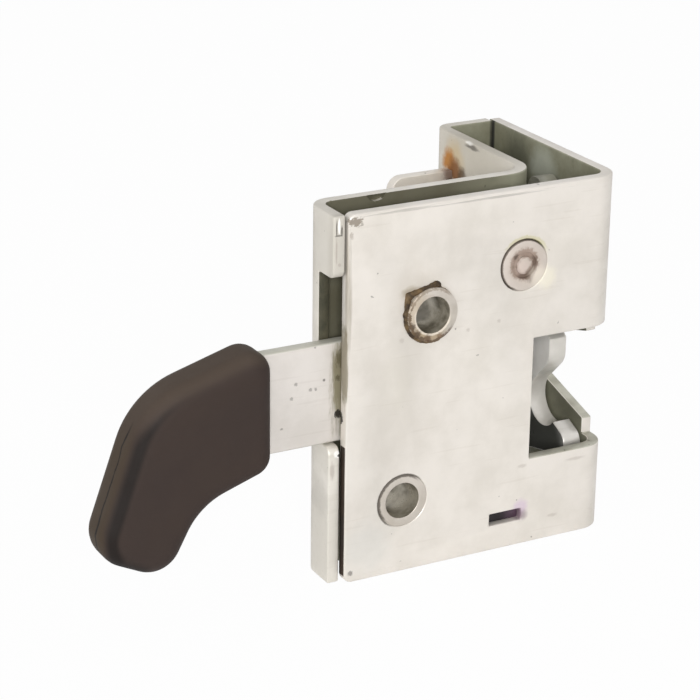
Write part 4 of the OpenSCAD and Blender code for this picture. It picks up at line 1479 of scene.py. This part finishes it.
@dataclass
class Studio:
    """White floor, soft lamps and the camera at the photograph's view."""

    focal_px: float = 2389.976
    frame_px: float = 700.0
    azimuth: float = 28.530
    elevation: float = 20.994
    roll: float = 0.767
    slide: tuple[float, float] = (24.937, 0.013)
    distance: float = 586.937
    look_at: Point = (18.0, 20.0, -19.0)
    floor_z: float = -65.0
    ambient: float = 0.34
    lamps: tuple[Lamp, ...] = (
        Lamp("key_lamp", (-0.66, -1.3, 0.5), (0.0, 0.0, -0.02), 0.5, 15.5),
        Lamp("side_lamp", (-1.4, -0.4, 0.4), (0.0, 0.0, -0.02), 0.9, 5.0),
        Lamp("top_lamp", (0.1, 0.0, 1.6), (0.0, 0.0, 0.0), 1.2, 1.5),
    )

    def build(self) -> None:
        """Makes the camera, the floor, the world and the lamps."""
        bpy.context.scene.view_settings.view_transform = "Standard"
        self._camera()
        self._floor()
        self._world()
        for lamp in self.lamps:
            lamp.build()

    def _camera(self) -> None:
        """Sets the camera that was fitted to the photograph's edges."""
        az, el, roll = (math.radians(v) for v in (self.azimuth, self.elevation, self.roll))
        back = Vector((-math.sin(az) * math.cos(el), -math.cos(az) * math.cos(el), math.sin(el)))
        right = Vector((math.cos(az), -math.sin(az), 0.0))
        up = back.cross(right)
        side = math.cos(roll) * right + math.sin(roll) * up
        over = math.cos(roll) * up - math.sin(roll) * right
        place = Vector(self.look_at) - self.slide[0] * side - self.slide[1] * over + self.distance * back
        data = bpy.data.cameras.new("photo_camera")
        data.sensor_width = 36.0
        data.sensor_fit = "HORIZONTAL"
        data.lens = self.focal_px / self.frame_px * data.sensor_width
        data.clip_start = 0.01
        camera = bpy.data.objects.new("photo_camera", data)
        bpy.context.scene.collection.objects.link(camera)
        turn = Matrix((side, over, back)).transposed().to_4x4()
        camera.matrix_world = Matrix.Translation(place * MM) @ turn
        bpy.context.scene.camera = camera

    def _white_rays(self, sheet: NodeSheet) -> bpy.types.NodeSocket:
        """Gives 1 for rays that see the background, straight or in metal.

        Args:
            sheet: The tree's sheet.

        Returns:
            The mask's socket.
        """
        rays = sheet.add("ShaderNodeLightPath")
        seen = sheet.math("MAXIMUM", rays.outputs["Is Camera Ray"], rays.outputs["Is Glossy Ray"])
        return sheet.math("MAXIMUM", seen, rays.outputs["Is Transmission Ray"])

    def _floor(self) -> None:
        """Makes the pale floor, which keeps a soft shadow."""
        bpy.ops.object.select_all(action="DESELECT")
        bpy.ops.mesh.primitive_plane_add(size=30.0, location=(0.0, 0.0, self.floor_z * MM))
        floor = bpy.context.object
        floor.name = "studio_floor"
        bpy.ops.object.transform_apply(location=True, rotation=True, scale=True)
        material = bpy.data.materials.new("floor_white")
        material.use_nodes = True
        material.node_tree.nodes.clear()
        sheet = NodeSheet(material.node_tree)
        matt = sheet.add("ShaderNodeBsdfDiffuse", {"Color": (0.9, 0.9, 0.9, 1.0)})
        glow = sheet.add("ShaderNodeEmission", {"Color": (1.0, 1.0, 1.0, 1.0), "Strength": 1.0})
        share = sheet.math("MULTIPLY", self._white_rays(sheet), 0.97)
        both = sheet.add("ShaderNodeMixShader", {0: share, 1: matt.outputs[0], 2: glow.outputs[0]})
        sheet.add("ShaderNodeOutputMaterial", {"Surface": both.outputs[0]})
        floor.data.materials.append(material)

    def _world(self) -> None:
        """Makes the white surround and a dimmer ambient light."""
        world = bpy.data.worlds.new("studio_white")
        bpy.context.scene.world = world
        world.use_nodes = True
        world.node_tree.nodes.clear()
        sheet = NodeSheet(world.node_tree)
        strength = sheet.span(self._white_rays(sheet), 0.0, 1.0, self.ambient, 1.0)
        surround = sheet.add("ShaderNodeBackground", {"Color": (1.0, 1.0, 1.0, 1.0), "Strength": strength})
        sheet.add("ShaderNodeOutputWorld", {"Surface": surround.outputs[0]})


def main() -> None:
    """Builds the lock's looks in order."""
    logging.basicConfig(level=logging.INFO, format="%(name)s %(message)s")
    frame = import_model()
    shop = Shop(frame, Effects())
    Studio().build()
    for part in (Housing(shop), Fixings(shop), HandLever(shop), Mechanism(shop), Springs(shop)):
        part.build()


if __name__ == "__main__":
    main()
